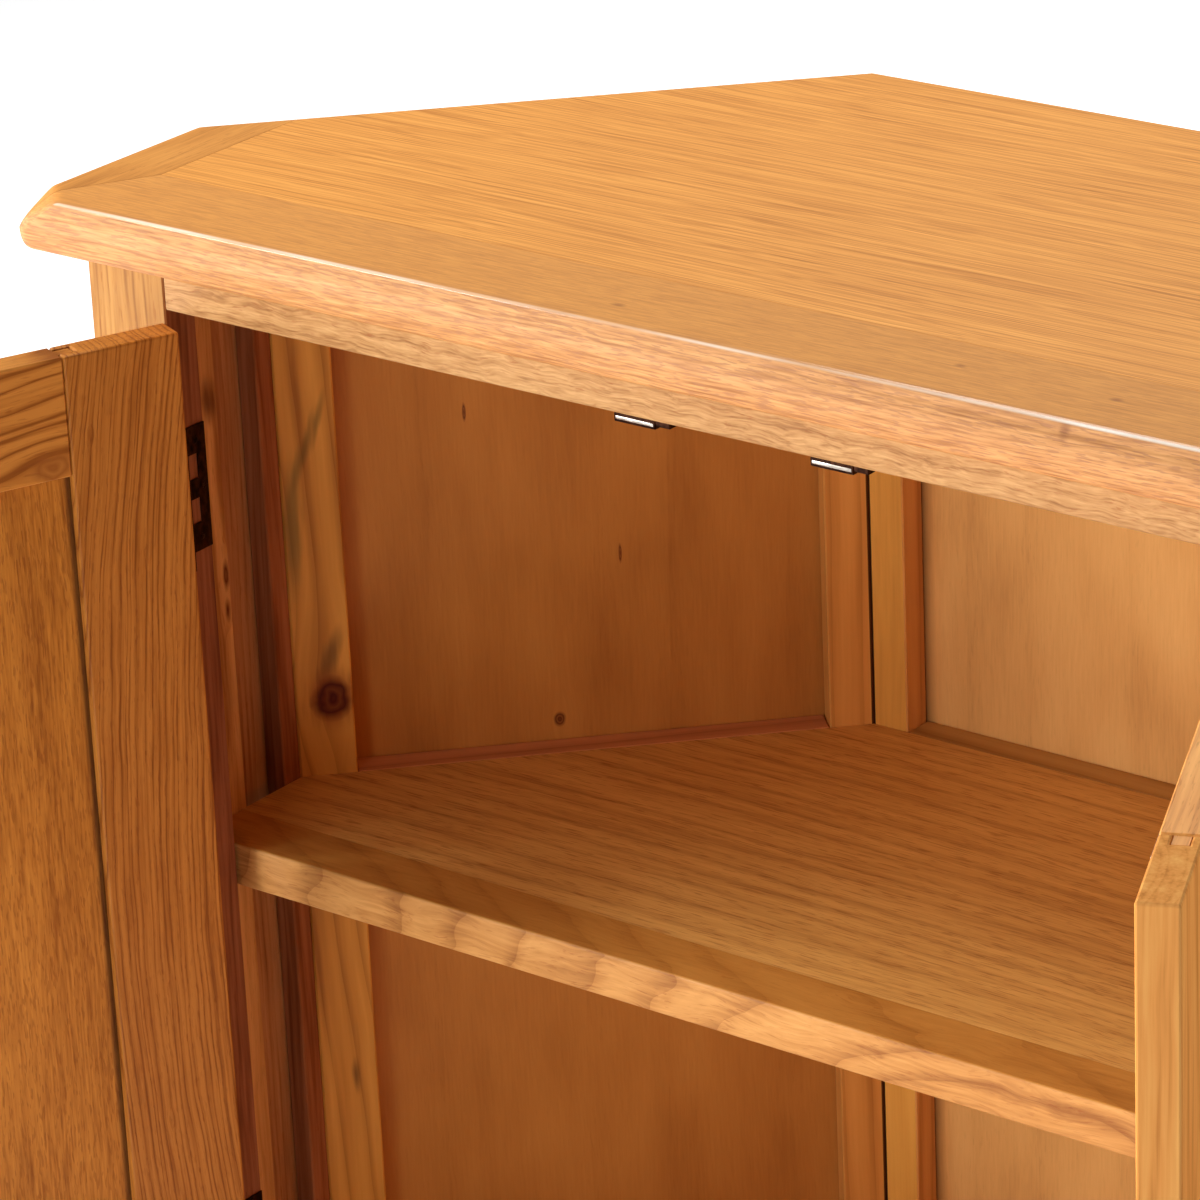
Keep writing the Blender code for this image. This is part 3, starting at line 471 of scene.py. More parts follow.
# Lacquered pine: wide soft rings with no pores, so it looks smoother and more yellow than the oak
PINE = OAK | dict(
    tone="#CB8841", ring=11, gloss=0.1, rough=0.6, pores=0, fibres=0.3, streaks=0.6, streak_mm=(160, 12),
)
# Stained plywood: rotary cut, so its face shows cloudy patches with hardly any line
PLY = OAK | dict(
    tone="#C07A38", ring=40, rings=0.12, gloss=0.1, rough=0.6, pores=0.12, fibres=0.3, fibre_mm=(20, 1.3),
    streaks=0.3, streak_mm=(220, 14), clouds=0.7, cloud_mm=(80, 34),
)
print("looks:", len((OAK, PINE, PLY)), "each with", len(OAK), "settings")

# %% [markdown]
# Every board gets a material of its own, because no two boards of a cupboard come out of the same place in
# the log. Its grain follows its length: stiles and panels stand, rails lie. The walls and the doors are
# turned in plan, so each carries the direction in which its boards run.

# %% Boards and their grain
DOOR_TURN = math.radians(113.5)
UPRIGHT = Vector((0, 0, 1))


def in_plan(angle):
    """A level direction at an angle from +X: its cosine along X and its sine along Y."""
    return Vector((math.cos(angle), math.sin(angle), 0))


DIRECTIONS = {
    "left_door": in_plan(-DOOR_TURN),
    "right_door": in_plan(math.pi + DOOR_TURN),
    "left_wall": in_plan(math.pi / 4),
    "right_wall": in_plan(-math.pi / 4),
    "left_side": in_plan(math.pi / 2),
    "right_side": in_plan(-math.pi / 2),
}


def board_axes(node):
    """Along, across and through a board, from its name: standing, lying flat or lying on edge."""
    direction = next((d for key, d in DIRECTIONS.items() if node.startswith(key)), in_plan(0))
    if node in ("top_left_lipping", "top_right_lipping"):
        return in_plan(math.pi / 2), -in_plan(0), UPRIGHT
    if node.startswith(("top_field", "top_front", "shelf", "bottom_board")):
        return in_plan(0), in_plan(math.pi / 2), UPRIGHT
    if node.endswith(("stile", "panel")):
        return UPRIGHT, direction, UPRIGHT.cross(direction)
    return direction, UPRIGHT, direction.cross(UPRIGHT)


print("a rail of the left wall runs along:", [round(v, 3) for v in board_axes("left_wall_top_rail")[0]])

# %% [markdown]
# Lacquer takes a little differently on each board, so each has a middle tone of its own. Each tone is also
# partly painted light and shade: boards that lie in shade, such as the inner left side, are darker, and lit
# ones, such as the right door, are paler. What else sets a board apart is a short list of settings, such as
# quiet streaks on the veneered top or bold rings on a rail of the door. A board that isn't in a table takes
# after a sibling that is.

# %% Tones and looks of single boards
# Middle tones: partly the boards' own, partly painted light and shade of where each board stands
TONES_WITH_PAINTED_LIGHT = dict(
    back_wall_first_stile="#E9A449", back_wall_panel="#E7AC63", back_wall_shelf_rail="#BA8E4F",
    left_door_hinge_stile="#AA6727", left_door_panel="#BD782C", left_door_top_rail="#B7732E",
    left_face_stile="#AC7A3B", left_side_front_stile="#C0864B", left_side_panel="#A96F40",
    left_side_rear_stile="#995B35", left_wall_first_stile="#D28E3B", left_wall_last_stile="#D89347",
    left_wall_panel="#BC7935", left_wall_shelf_rail="#CC8D5D", right_door_bottom_rail="#CF8538",
    right_door_free_stile="#EE9B4E", right_door_hinge_stile="#CF8538", right_door_panel="#CF8538",
    right_door_top_rail="#E79E52", shelf_board="#D19E54", shelf_lipping="#B97F38", top_field="#DE9647",
    top_front_lipping="#D18C3E", top_left_lipping="#CE8A41", top_rail="#B48551",
)
# Edge and outside gains here are partly painted light and shade on a board's faces
BOARDS = dict(
    top_field=dict(
        rings=0.1, ring=9, streaks=0.25, streak_mm=(240, 1.8), fibres=1.7, fibre_mm=(120, 1.1), pores=0.15,
        clouds=0.3, cloud_mm=(260, 60),
    ),
    top_front_lipping=dict(
        rings=0, streaks=0.25, streak_mm=(240, 1.8), fibres=1.9, fibre_mm=(24, 1.2), pores=0.6, clouds=0.1,
        pore_mm=(8, 0.8), pore_from=0.54, pore="#AE7038", late_pores=1, gloss=0.3, rough=0.6,
        edge=(0.9, 0.99, 1.74), calm=0.5,
    ),
    top_left_lipping=dict(rings=0, streaks=0.2, fibres=0.9, cloud_mm=(50, 25), edge=(0.85, 0.85, 0.85)),
    top_rail=dict(
        rings=0.3, ripple=7, ripple_mm=(22, 14), ring=4, pith=(40, -60), fibres=1.8, fibre_mm=(14, 1.1),
        pores=0.55, pore_mm=(6, 0.9), pore="#96542A",
    ),
    left_face_stile=dict(streaks=1.8, streak_mm=(60, 3), edge=(0.6, 0.4, 0.7)),
    left_door_hinge_stile=dict(
        rings=0.85, ring=3.5, fibres=1.6, fibre_mm=(40, 1.1), pith=(-220, 20), ripple=4.5, sweep=3,
        ripple_mm=(55, 18), pores=0.85, pore_from=0.57, pore_mm=(6, 0.8), late_pores=0.2,
        edge=(1.16, 1.2, 1.16),
    ),
    left_door_top_rail=dict(
        rings=1.6, ring=8.5, pith=(-200, 10), lean=(4.5, 0), ripple=4, fibres=1.4, pores=0.7,
    ),
    left_door_panel=dict(
        rings=0, streaks=0.7, fibres=1.6, fibre_mm=(20, 1.2), pore_mm=(7, 1), pore_from=0.56, late_pores=1,
        clouds=0.9,
    ),
    left_side_front_stile=dict(streaks=2.2, streak_mm=(150, 6), gloss=0, coat=0),
    left_side_panel=dict(streaks=1.3, gloss=0, coat=0, outside=(1.2, 1.25, 1.1)),
    left_side_rear_stile=dict(streaks=2, gloss=0, coat=0, outside=(1.5, 1.8, 1.5)),
    left_wall_first_stile=dict(rings=0.5, lean=(3, 0), streaks=1.3),
    back_wall_first_stile=dict(edge=(0.85, 0.95, 1.9), outside=(0.72, 0.66, 0.8)),
    back_wall_panel=dict(streaks=0.15, cloud_mm=(90, 40), outside=(0.66, 0.6, 0.55)),
    shelf_board=dict(
        rings=0.3, ring=16, pith=(-260, -30), lean=(1.5, 0), sweep=1.2, streaks=0.6, fibre_mm=(32, 1.3),
        pores=0.5, pore_mm=(13, 0.9), pore_from=0.57, late_pores=0.7,
    ),
    shelf_lipping=dict(
        rings=0.55, ring=20, pith=(60, -40), lean=(28, 0), ripple=12, ripple_mm=(40, 16), fibres=1, pores=0.6,
        edge=(1.04, 1.06, 1.5), calm=0.55,
    ),
    right_door_free_stile=dict(rings=0.2, fibres=0.7, pores=0, gloss=0, coat=0, edge=(0.815, 0.89, 0.99)),
)
print("boards with a tone:", len(TONES_WITH_PAINTED_LIGHT), "and with settings of their own:", len(BOARDS))

# %% [markdown]
# A mark belongs to one board alone, at a place along and across it in mm. A knot then gives its radius, how
# many times longer than wide it is, and its colour, and a stain its lean in degrees before the colour. A rim
# is
# painted shade along a groove or joint: it gives the half length and half width of the clear part, the width
# of the fade and its strength. An arris is a place across and through, and carries a painted highlight.

# %% Knots, stains and shade on single boards
MARKS = dict(
    top_front_lipping=dict(
        # The arris carries a painted highlight, a pale broken line along it
        arris=(-27.2, 12.4),
        stains=(
            (-40.6, -6.7, 3.6, 1.7, 0, "#8A4C1E"), (140.2, 6, 3.2, 1.6, 0, "#8A4C1E"),
            (222.4, 5, 3.6, 1.5, 0, "#8A4C1E"), (218.2, -29.3, 3, 1.5, 0, "#8A4C1E"),
        ),
    ),
    left_door_hinge_stile=dict(
        knots=(
            (288.3, 22.5, 1.1, 1.6, "#5A2A0E"), (270.6, 20.3, 1.4, 2, "#5A2A0E"),
            (257.7, -26.1, 1, 1.8, "#5A2A0E"), (-111.4, 6.8, 1.5, 1.3, "#5A2A0E"),
        ),
    ),
    left_door_top_rail=dict(knots=((-88, -24, 9, 1.5, "#9A5A24"),)),
    # Painted shade in the groove where the panel meets its frame
    left_door_panel=dict(rim=(0, 0, 251, 97.2, 2.4, 0.75)),
    left_side_front_stile=dict(
        stains=((279.3, 13.3, 7.5, 2.4, 0, "#4E1A0A"),),
        knots=((181.6, 17, 3.6, 3.2, "#5A200C"), (162.2, 16.5, 3, 3.2, "#5A200C")),
    ),
    left_wall_first_stile=dict(
        stains=(
            (250, 9, 3.2, 8, 15, "#66501E"), (236, 2, 3.4, 9, 15, "#66501E"),
            (222, -4, 3.2, 8, 12, "#705824"), (190, -7.5, 7, 7.5, 3, "#7C6028"),
            (117, 8, 7, 3.2, 20, "#6E4A20"), (92.9, 7.7, 19, 1.2, 0, "#8A2C0C"),
            (-131.3, 7, 3.4, 4.5, 0, "#4A2C12"),
        ),
        knots=((176.4, 1.3, 1, 2, "#4A200C"), (92.9, 7.7, 12.5, 1.15, "#4A0E08")),
    ),
    # Painted shade in the joint where this stile meets the back wall
    left_wall_last_stile=dict(rim=(0, -92.4, 1e4, 100, 0.3, 0.9)),
    left_wall_panel=dict(
        knots=(
            (39.5, -16.2, 4, 1.2, "#5A220C"), (219.5, -58.7, 1.2, 5, "#5E240E"),
            (132.3, 20.2, 1.1, 6, "#5E240E"),
        ),
    ),
    # Painted shade in the joint where this stile meets the left wall
    back_wall_first_stile=dict(rim=(0, 94.3, 1e4, 100, 0.3, 0.9)),
    # Painted shade along the panel's long edges, under the rails
    back_wall_panel=dict(rim=(0, 0, 1e4, 111, 7, 0.6)),
    shelf_board=dict(knots=((-19, -76, 1, 7, "#38160A"), (-8.7, -76.4, 1, 2.5, "#38160A"))),
)
print("boards with marks:", len(MARKS))

# %% [markdown]
# Now every board is finished. Its place in the log is drawn at random from a seed that is its number, so it
# differs from board to board and stays the same at each run. A sibling is found by changing a word of the
# board's name, one pair of words after the other.

# %% Every board finished
SIBLINGS = [("right_wall", "left_wall"), ("right_side", "left_side"), ("right_face", "left_face"),
            ("top_right", "top_left"), ("bottom_rail", "top_rail"), ("wall_top_rail", "wall_shelf_rail"),
            ("bottom_board", "shelf_board"), ("back_wall_last", "back_wall_first"),
            ("free_stile", "hinge_stile"), ("right_door_hinge", "right_door_free"),
            ("right_door_panel", "right_door_free_stile"), ("left_knob", "left_door_hinge_stile"),
            ("right_knob", "right_door_free_stile"), ("catch_batten", "top_rail")]


def usual_look(node, index):
    """Oak, pine or plywood by the board's name, from a different place in the log for each board."""
    timber = PLY if node.endswith("wall_panel") else PINE if "_wall_" in node else OAK
    rng = np.random.default_rng(index)
    pith = (rng.uniform(-160, 160), rng.uniform(-90, -45))
    return timber | {"pith": pith, "lean": tuple(rng.uniform(-1.5, 1.5, 2)), "seed": index * 7.3}


def taken_after(node, known):
    """The board among the known ones that this one takes after, or the last name tried."""
    for words in SIBLINGS:
        node = node if node in known else node.replace(*words)
    return node


def own_look(node, index):
    """The usual look of the timber, what sets the board or its sibling apart, its tone and its own marks."""
    apart = BOARDS.get(taken_after(node, BOARDS), {})
    tone = {"tone": TONES_WITH_PAINTED_LIGHT[taken_after(node, TONES_WITH_PAINTED_LIGHT)]}
    return usual_look(node, index) | apart | tone | MARKS.get(node, {})


METAL_ENDINGS = ("leaf", "plate", "_catch")
finishes = {}
wooden = [n for n in sorted(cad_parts) if not n.endswith(METAL_ENDINGS)]
for index, node in enumerate(wooden):
    look = own_look(node, index)
    low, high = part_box(node)
    finishes[node] = lacquered_wood(f"{node}_wood", (low + high) / 2, board_axes(node), look)
    dress(node, finishes[node])
print("boards finished:", len(wooden))

# %% [markdown]
# Metal takes its look from its reflections, and no plated or browned part is even. Noise mixes two tones and
# two roughnesses: fine blotches where the bronze of the hinges is rubbed, and long thin scratches from the
# brush on the nickel of the catches. So the eye reads old iron in one and bright plate in the other.

# %% Metals
SCRATCH_DEPTH = 0.00005


def metal(name, dark, light, mark_mm, smooth, rough):
    """Two tones and roughnesses mixed by noise, whose marks have a size in mm along each axis of the room."""
    material, tree = new_material(name)
    place = put(tree, "TexCoord", out="Object")
    scale = [1 / (size * MM) for size in mark_mm]
    place = put(tree, "VectorMath", {0: place, 1: scale}, operation="MULTIPLY")
    worn = put(tree, "TexNoise", {"Vector": place, "Scale": 1.0, "Detail": 3.0})
    colour = put(tree, "ValToRGB", {"Fac": worn}, stops=[(0.35, linear(dark)), (0.65, linear(light))])
    links = {"Value": worn, "From Min": 0.3, "From Max": 0.7, "To Min": rough, "To Max": smooth}
    blur = put(tree, "MapRange", links)
    normal = put(tree, "Bump", {"Height": worn, "Strength": 0.25, "Distance": SCRATCH_DEPTH})
    shader_links = {"Base Color": colour, "Roughness": blur, "Normal": normal, "Metallic": 1.0}
    put(tree, "OutputMaterial", {"Surface": put(tree, "BsdfPrincipled", shader_links)}, out=None)
    return material


# Browned steel, nearly black with a warm glint on its rubbed places
bronze = metal("bronzed_steel", "#190D09", "#3A2217", (2.5, 2.5, 5.0), 0.34, 0.58)
# Nickel plate, bright and slightly blurred along the brush marks
nickel = metal("nickel_plate", "#8E847A", "#CCC4B9", (6.0, 0.7, 0.7), 0.2, 0.4)
fittings = [n for n in sorted(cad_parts) if n.endswith(METAL_ENDINGS)]
for node in fittings:
    dress(node, bronze if node.endswith("leaf") else nickel)
print("metal solids:", len(fittings))

# %% [markdown]
# Wood and metal catch the light on their rounded arrises, and the plain solids have none there. The next
# pieces are surfaces: a closed outline is worked out at each step along a path, as one array of points, and
# neighbouring outlines are joined by four-sided faces. One helper does the joining, so that each piece only
# has to say where its points lie.

# %% From outlines to a closed surface
MERGE_REACH = 0.000002


def surface(name, points, faces, material, angle=35):
    """A mesh from arrays: doubled points are merged and all faces turned outwards.

    Edges gentler than the angle are shaded smooth. A face with more than four corners is a flat end, and
    stays flat.
    """
    mesh = bpy.data.meshes.new(name)
    mesh.from_pydata(points.reshape(-1, 3).tolist(), [], faces)
    shape = bmesh.new()
    shape.from_mesh(mesh)
    bmesh.ops.remove_doubles(shape, verts=shape.verts, dist=MERGE_REACH)
    bmesh.ops.recalc_face_normals(shape, faces=shape.faces)
    shape.to_mesh(mesh)
    shape.free()
    mesh.shade_smooth()
    mesh.set_sharp_from_angle(angle=math.radians(angle))
    corners = np.zeros(len(mesh.polygons), dtype=np.int32)
    mesh.polygons.foreach_get("loop_total", corners)
    mesh.polygons.foreach_set("use_smooth", corners <= 4)
    mesh.materials.append(material)
    piece = bpy.data.objects.new(name, mesh)
    bpy.context.scene.collection.objects.link(piece)
    return piece


def shell_faces(steps, count, start=0):
    """Faces of one shell: quads from each point to the next outline's, and a flat face at both ends."""
    step, point = np.meshgrid(np.arange(steps - 1), np.arange(count), indexing="ij")
    here, beside = step * count + point, step * count + (point + 1) % count
    quads = np.stack([here, beside, beside + count, here + count], -1).reshape(-1, 4) + start
    ends = [list(range(count)), list(range((steps - 1) * count, steps * count))]
    return quads.tolist() + [[index + start for index in end] for end in ends]


def carried(name, shells, material, angle=35):
    """One piece from one or more shells; each shell is an array of steps, points and their x, y and z."""
    faces, start = [], 0
    for shell in shells:
        faces += shell_faces(*shell.shape[:2], start)
        start += shell.shape[0] * shell.shape[1]
    return surface(name, np.concatenate([shell.reshape(-1, 3) for shell in shells]), faces, material, angle)


def stacked(plan, heights):
    """Outlines in plan, each lifted to its own height."""
    height = np.broadcast_to(heights[:, None, None], (*plan.shape[:2], 1))
    return np.concatenate([plan, height], -1)


def lathed(radius, height, spokes):
    """A form turned about Z: x is the radius times cos t and y the radius times sin t, all the way round."""
    turn = np.linspace(0, 2 * np.pi, spokes, endpoint=False)
    x, y = (radius[:, None] * wave(turn) for wave in (np.cos, np.sin))
    return np.stack([x, y, np.broadcast_to(height[:, None], x.shape)], -1)


def fit(piece, body, slot, *nodes):
    """Attaches the piece to what carries it and hides the solids it stands for. The slot is not used."""
    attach(piece, body)
    if nodes:
        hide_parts(*nodes)
    return piece


print("a shell of 5 outlines of 4 points has", len(shell_faces(5, 4)), "faces")

# %% [markdown]
# The top's front and side edges are moulded: below a crisp upper arris the edge swells out and then turns in
# again, and the front corners are cut off and rounded. In numbers this is a family of outlines with two
# parameters, one along the edge and one down it. The arris gets a small round, which shines in a studio.

# %% Outlines of the moulded top
TOP_HALF, TOP_SIDE_RUN, TOP_THICK = 0.3943, 0.1277, 0.026
SWELL, SWELL_DROP, TURN_IN = 0.0057, 0.016, 0.0028
CORNER_CUT, CORNER_ROUND, ARRIS_ROUND = 0.022, 0.0106, 0.0024
SEAM_X, SEAM_Y, HAIRLINE = 0.3578, 0.060, 0.00015
TOP_LEVEL = cad_high[2]
ARRIS_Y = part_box("top_field")[0][1] - SEAM_Y - HAIRLINE


def upper_rows(share):
    """Rows of swell, drop, corner cut and corner fullness: swell is one less the square of what is left."""
    swell = SWELL * (1 - (1 - share) ** 2)
    cut = CORNER_CUT + (CORNER_ROUND - CORNER_CUT) * share
    return np.stack([swell, SWELL_DROP * share, cut, share], -1)


def moulding_rows():
    """A parabola rounds the arris, then the upper rows swell out and a quarter ellipse turns in below."""
    t = np.linspace(0, 1, 7)[:, None]
    flat = np.array([-ARRIS_ROUND, 0, CORNER_CUT, 0])
    sharp, first = upper_rows(np.array([0.0, 0.1]))
    arris = flat * (1 - t) ** 2 + sharp * 2 * t * (1 - t) + first * t**2
    turn = np.linspace(0, np.pi / 2, 9)[1:]
    swell = SWELL - TURN_IN * (1 - np.cos(turn))
    drop = SWELL_DROP + (TOP_THICK - SWELL_DROP) * np.sin(turn)
    lower = np.stack([swell, drop, np.full(8, CORNER_ROUND), np.ones(8)], -1)
    return np.concatenate([arris, upper_rows(np.linspace(0.1, 1, 10))[1:], lower])


def corner_bend(rows, offset, front, steps=14):
    """Points round the right front corner from its mitre, offset a little, to the front or to the side.

    A parabola runs from the side to the front, and its control point moves out to the sharp corner as the
    corner gets fuller. It meets the mitre where a quadratic in the parabola's parameter is nought.
    """
    swell, _, cut, full = rows.T
    corner = np.stack([TOP_HALF + swell, -swell], -1)
    side_end = corner + np.stack([0 * cut, cut], -1)
    front_end = corner - np.stack([cut, 0 * cut], -1)
    control = (side_end + front_end) / 2 * (1 - full)[:, None] + corner * full[:, None]
    across = np.array([SEAM_Y, TOP_HALF - SEAM_X]) / math.hypot(SEAM_Y, TOP_HALF - SEAM_X)
    first, middle, last = ((p - (TOP_HALF, 0)) @ across - offset for p in (side_end, control, front_end))
    square, slope = first - 2 * middle + last, 2 * (middle - first)
    meeting = 2 * first / (np.sqrt(slope**2 - 4 * square * first) - slope)
    t = meeting[:, None] + (float(front) - meeting[:, None]) * np.linspace(0, 1, steps)
    t = t[:, :, None]
    ends = side_end[:, None] * (1 - t) ** 2 + front_end[:, None] * t**2
    return ends + control[:, None] * 2 * t * (1 - t)


def raised(plan, rows):
    """Gives each outline in plan its height, and moves it from the front arris to its place in the room."""
    return stacked(plan + (0, ARRIS_Y), TOP_LEVEL - rows[:, 1])


rows = moulding_rows()
print("rows down the moulding:", len(rows), "and it swells", round(rows[:, 0].max() * 1000, 1), "mm")

# %% [markdown]
# The lippings are cut from this family. The front one runs from mitre to mitre and back along its seam with
# the veneered field. A side one starts at its mitre and ends in a point where the wall side of the top cuts
# it off at 45 degrees.

# %% Lippings
def same_point(rows, x, y):
    """One point in plan, the same for every row of the moulding."""
    return np.broadcast_to(np.array([x, y]), (len(rows), 1, 2))


def front_lipping():
    """The bend of the right corner, its mirror image, and back along the seam with the field."""
    right = corner_bend(rows, -HAIRLINE, front=True)
    left = right[:, ::-1] * (-1, 1)
    seam = [same_point(rows, side * (SEAM_X - HAIRLINE), SEAM_Y - HAIRLINE) for side in (-1, 1)]
    return raised(np.concatenate([right, left, *seam], 1), rows)


def side_lipping(side):
    """The bend from the mitre, the side edge, the pointed tip at the wall, and back along the seam."""
    bend = corner_bend(rows, HAIRLINE, front=False)
    swell = rows[:, 0]
    far = np.stack([TOP_HALF + swell, TOP_SIDE_RUN - swell], -1)[:, None]
    inner = SEAM_X + HAIRLINE
    tip = same_point(rows, inner, TOP_HALF + TOP_SIDE_RUN - inner)
    seam = same_point(rows, inner, SEAM_Y + HAIRLINE)
    return raised(np.concatenate([bend, far, tip, seam], 1) * (side, 1), rows)


lippings = {"top_front_lipping": front_lipping(), "top_left_lipping": side_lipping(-1)}
lippings["top_right_lipping"] = side_lipping(1)
for node, outlines in lippings.items():
    piece = carried(f"{node}_moulded", [outlines], finishes[node], 30)
    fit(piece, "cabinet", "lacquered_oak", node)
    print(node, "faces:", len(piece.data.polygons))

# %% [markdown]
# The shelf has a deeper lipping in front, with rounded front corners so that nothing catches on it. Its
# outline is stacked upwards, and drawn in by a quarter circle at the top and at the bottom.

# %% Shelf lipping
SHELF_CORNER, SHELF_ROUND = 0.028, 0.0014


def quarter_rounds(low, high, radius, steps=5):
    """Heights and how far the outline draws in: quarter circles at both ends of a stack."""
    turn = np.linspace(0, np.pi / 2, steps)
    drawn_in = radius * (1 - np.sin(turn))
    rise = radius * (1 - np.cos(turn))
    heights = np.concatenate([low + rise, high - rise[::-1]])
    return heights, np.concatenate([drawn_in, drawn_in[::-1]])


def shelf_front():
    """Straight sides, a quarter circle at each front corner, and a straight front between them."""
    low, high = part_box("shelf_lipping")
    heights, drawn_in = quarter_rounds(low[2], high[2], SHELF_ROUND)
    radius = (SHELF_CORNER - drawn_in)[:, None]
    turn = np.linspace(0, np.pi / 2, 20)
    x = high[0] - SHELF_CORNER + radius * np.cos(turn)
    y = low[1] + SHELF_CORNER - radius * np.sin(turn)
    back = np.stack([high[0] - drawn_in, np.full_like(drawn_in, high[1])], -1)[:, None]
    right = np.concatenate([back, np.stack([x, y], -1)], 1)
    return stacked(np.concatenate([right, right[:, ::-1] * (-1, 1)], 1), heights)


piece = carried("shelf_lipping_rounded", [shelf_front()], finishes["shelf_lipping"], 40)
fit(piece, "cabinet", "lacquered_oak", "shelf_lipping")
print("shelf lipping faces:", len(piece.data.polygons))

# %% [markdown]
# The doors stand open, so whatever is fixed to them is worked out beside a closed door and then turned about
# the pin line. Along is counted from the pin to the door's free edge, and depth from the pin to the inside.

# %% The turn of a door
PIN_X, PIN_Y = 0.32345, ARRIS_Y + 0.01665
DOOR_FACE, DOOR_THICK, DOOR_REACH = 0.003, 0.018, 0.32195
SIDES = {"left": -1, "right": 1}


def door_turn(side):
    """A matrix that takes a closed door's along, depth and height to the open door's place."""
    mirror = Matrix.Diagonal((-side, 1, 1, 1))
    return Matrix.Translation((side * PIN_X, PIN_Y, 0)) @ Matrix.Rotation(side * DOOR_TURN, 4, "Z") @ mirror


def moved(points, matrix):
    """All points of an array through one matrix."""
    grid = np.array(matrix)
    return points @ grid[:3, :3].T + grid[:3, 3]


print("free edge of the open left door:", [round(v, 3) for v in door_turn(-1) @ Vector((DOOR_REACH, 0, 0))])

# %% [markdown]
# A screw head is a shallow dome with a cross recess. On a grid of circles and spokes its height is the
# dome's, less a dip wherever the point is close to one of the two crossing lines. The same grid serves every
# screw, moved to its place, and the rim is carried down so that the head is closed.

# %% Screw heads
SLOT_REACH, SLOT_DEPTH, RIM_DEPTH = 0.62, 1.6, 3


def screw_head(radius, dome, slot, circles=14, spokes=48):
    """Height over a disc: a paraboloid, less a smooth trench along both axes of the cross."""
    share = np.concatenate([np.linspace(0.02, 1, circles), [1.0]])
    head = lathed(radius * share, share, spokes)
    nearest = np.abs(head[..., :2]).min(-1) / slot
    inside = np.clip(1.5 - nearest, 0, 1) * np.clip((SLOT_REACH - share[:, None]) * 8, 0, 1)
    head[..., 2] = dome * (1 - share[:, None] ** 2) - SLOT_DEPTH * dome * inside
    head[-1, :, 2] = -RIM_DEPTH * dome
    return head


def looking(place, axis, turn=0.0):
    """A matrix that stands a piece made along +Z on a place, with its top along an axis."""
    tilt = Vector(axis).to_track_quat("Z", "Y").to_matrix().to_4x4()
    return Matrix.Translation(place) @ tilt @ Matrix.Rotation(turn, 4, "Z")


def screws(name, places, radius, material, body, slot="bronzed_steel"):
    """Screw heads as one piece, each at its own matrix and turned by its own amount, as by hand."""
    head = screw_head(radius, radius * 0.12, radius * 0.16)
    turned = [Matrix.Rotation(1.7 * index + 0.4, 4, "Z") for index in range(len(places))]
    shells = [moved(head, place @ turn) for place, turn in zip(places, turned)]
    return fit(carried(name, shells, material, 40), body, slot)


print("points in a screw head:", screw_head(0.003, 0.0003, 0.0004).shape[:2])

# %% [markdown]
# A butt hinge is two flat leaves whose straps roll round one pin in turn. These leaves are deep bars with a
# strap at each knuckle. Seen from above, a strap with its knuckle is one outline: along the strap, round a
# circle, and back. It is stacked up over the strap's height, with the circle a little smaller at both ends.

# %% Straps and bars
KNUCKLE_RADIUS, LEAF_FACE, LEAF_THICK, STRAP_ROUND = 0.0026, 0.00025, 0.0008, 0.00025


def strap_outline(radius, depth):
    """Leaf face, round the knuckle's circle, and back along the leaf's other face, in plan."""
    near, far = LEAF_FACE, LEAF_FACE + LEAF_THICK
    start, end = np.arccos(far / radius), np.arccos(near / radius) - 2 * np.pi
    turn = np.linspace(start, end, 33)
    x = np.concatenate([[far], radius * np.cos(turn), [near]])
    y = np.concatenate([[depth], radius * np.sin(turn), [depth]])
    return np.stack([x, y], -1)


def strap(low, high, depth):
    """The strap's outline at four heights; the circle is drawn in by a chamfer at the top and the bottom."""
    heights = np.array([low, low + STRAP_ROUND, high - STRAP_ROUND, high])
    radii = KNUCKLE_RADIUS - np.array([STRAP_ROUND, 0, 0, STRAP_ROUND])
    return stacked(np.array([strap_outline(radius, depth) for radius in radii]), heights)


def rounded_block(low, high, edge, corner=None, steps=5):
    """A block between two corners: rounded rectangles stacked upwards, drawn in by quarter circles."""
    low, high = np.array(low, float), np.array(high, float)
    heights, drawn_in = quarter_rounds(low[2], high[2], edge, steps)
    turn = np.linspace(0, 2 * np.pi, 4 * steps, endpoint=False) + np.pi / (4 * steps)
    corner = corner or edge * 1.5
    reach = (high - low)[:2] / 2 - corner
    wave = np.stack([np.cos(turn), np.sin(turn)], -1)
    plan = (low + high)[:2] / 2 + np.sign(wave) * reach + wave * (corner - drawn_in[:, None, None])
    return stacked(plan, heights)


print("points round a strap:", len(strap_outline(KNUCKLE_RADIUS, 0.01)))

# %% [markdown]
# The leaves take turns along the pin: the frame's leaf has the first, third and fifth knuckle, and the door's
# leaf has the two between. Each leaf is made beside a pin at the origin and then taken to its place, the
# door's through the turn of the open door. The pin stays with the frame.

# %% Hinges
HINGE_LENGTH, HINGE_BAR, PIN_RADIUS = 0.067, 0.0066, 0.0013
HEAD_SWELL, HEAD_HEIGHT, STRAP_OVERLAP = 1.35, 0.0008, 0.0001
BAR_ROUND, HINGE_SCREW = 0.00015, 0.0024
LEAF_REACH = {"frame": 0.0243, "door": 0.0190}
KNUCKLE_ENDS = np.cumsum([0, 0.225, 0.195, 0.160, 0.195, 0.225]) * HINGE_LENGTH
HINGE_MIDDLES = {"upper": 0.628, "lower": 0.1905}


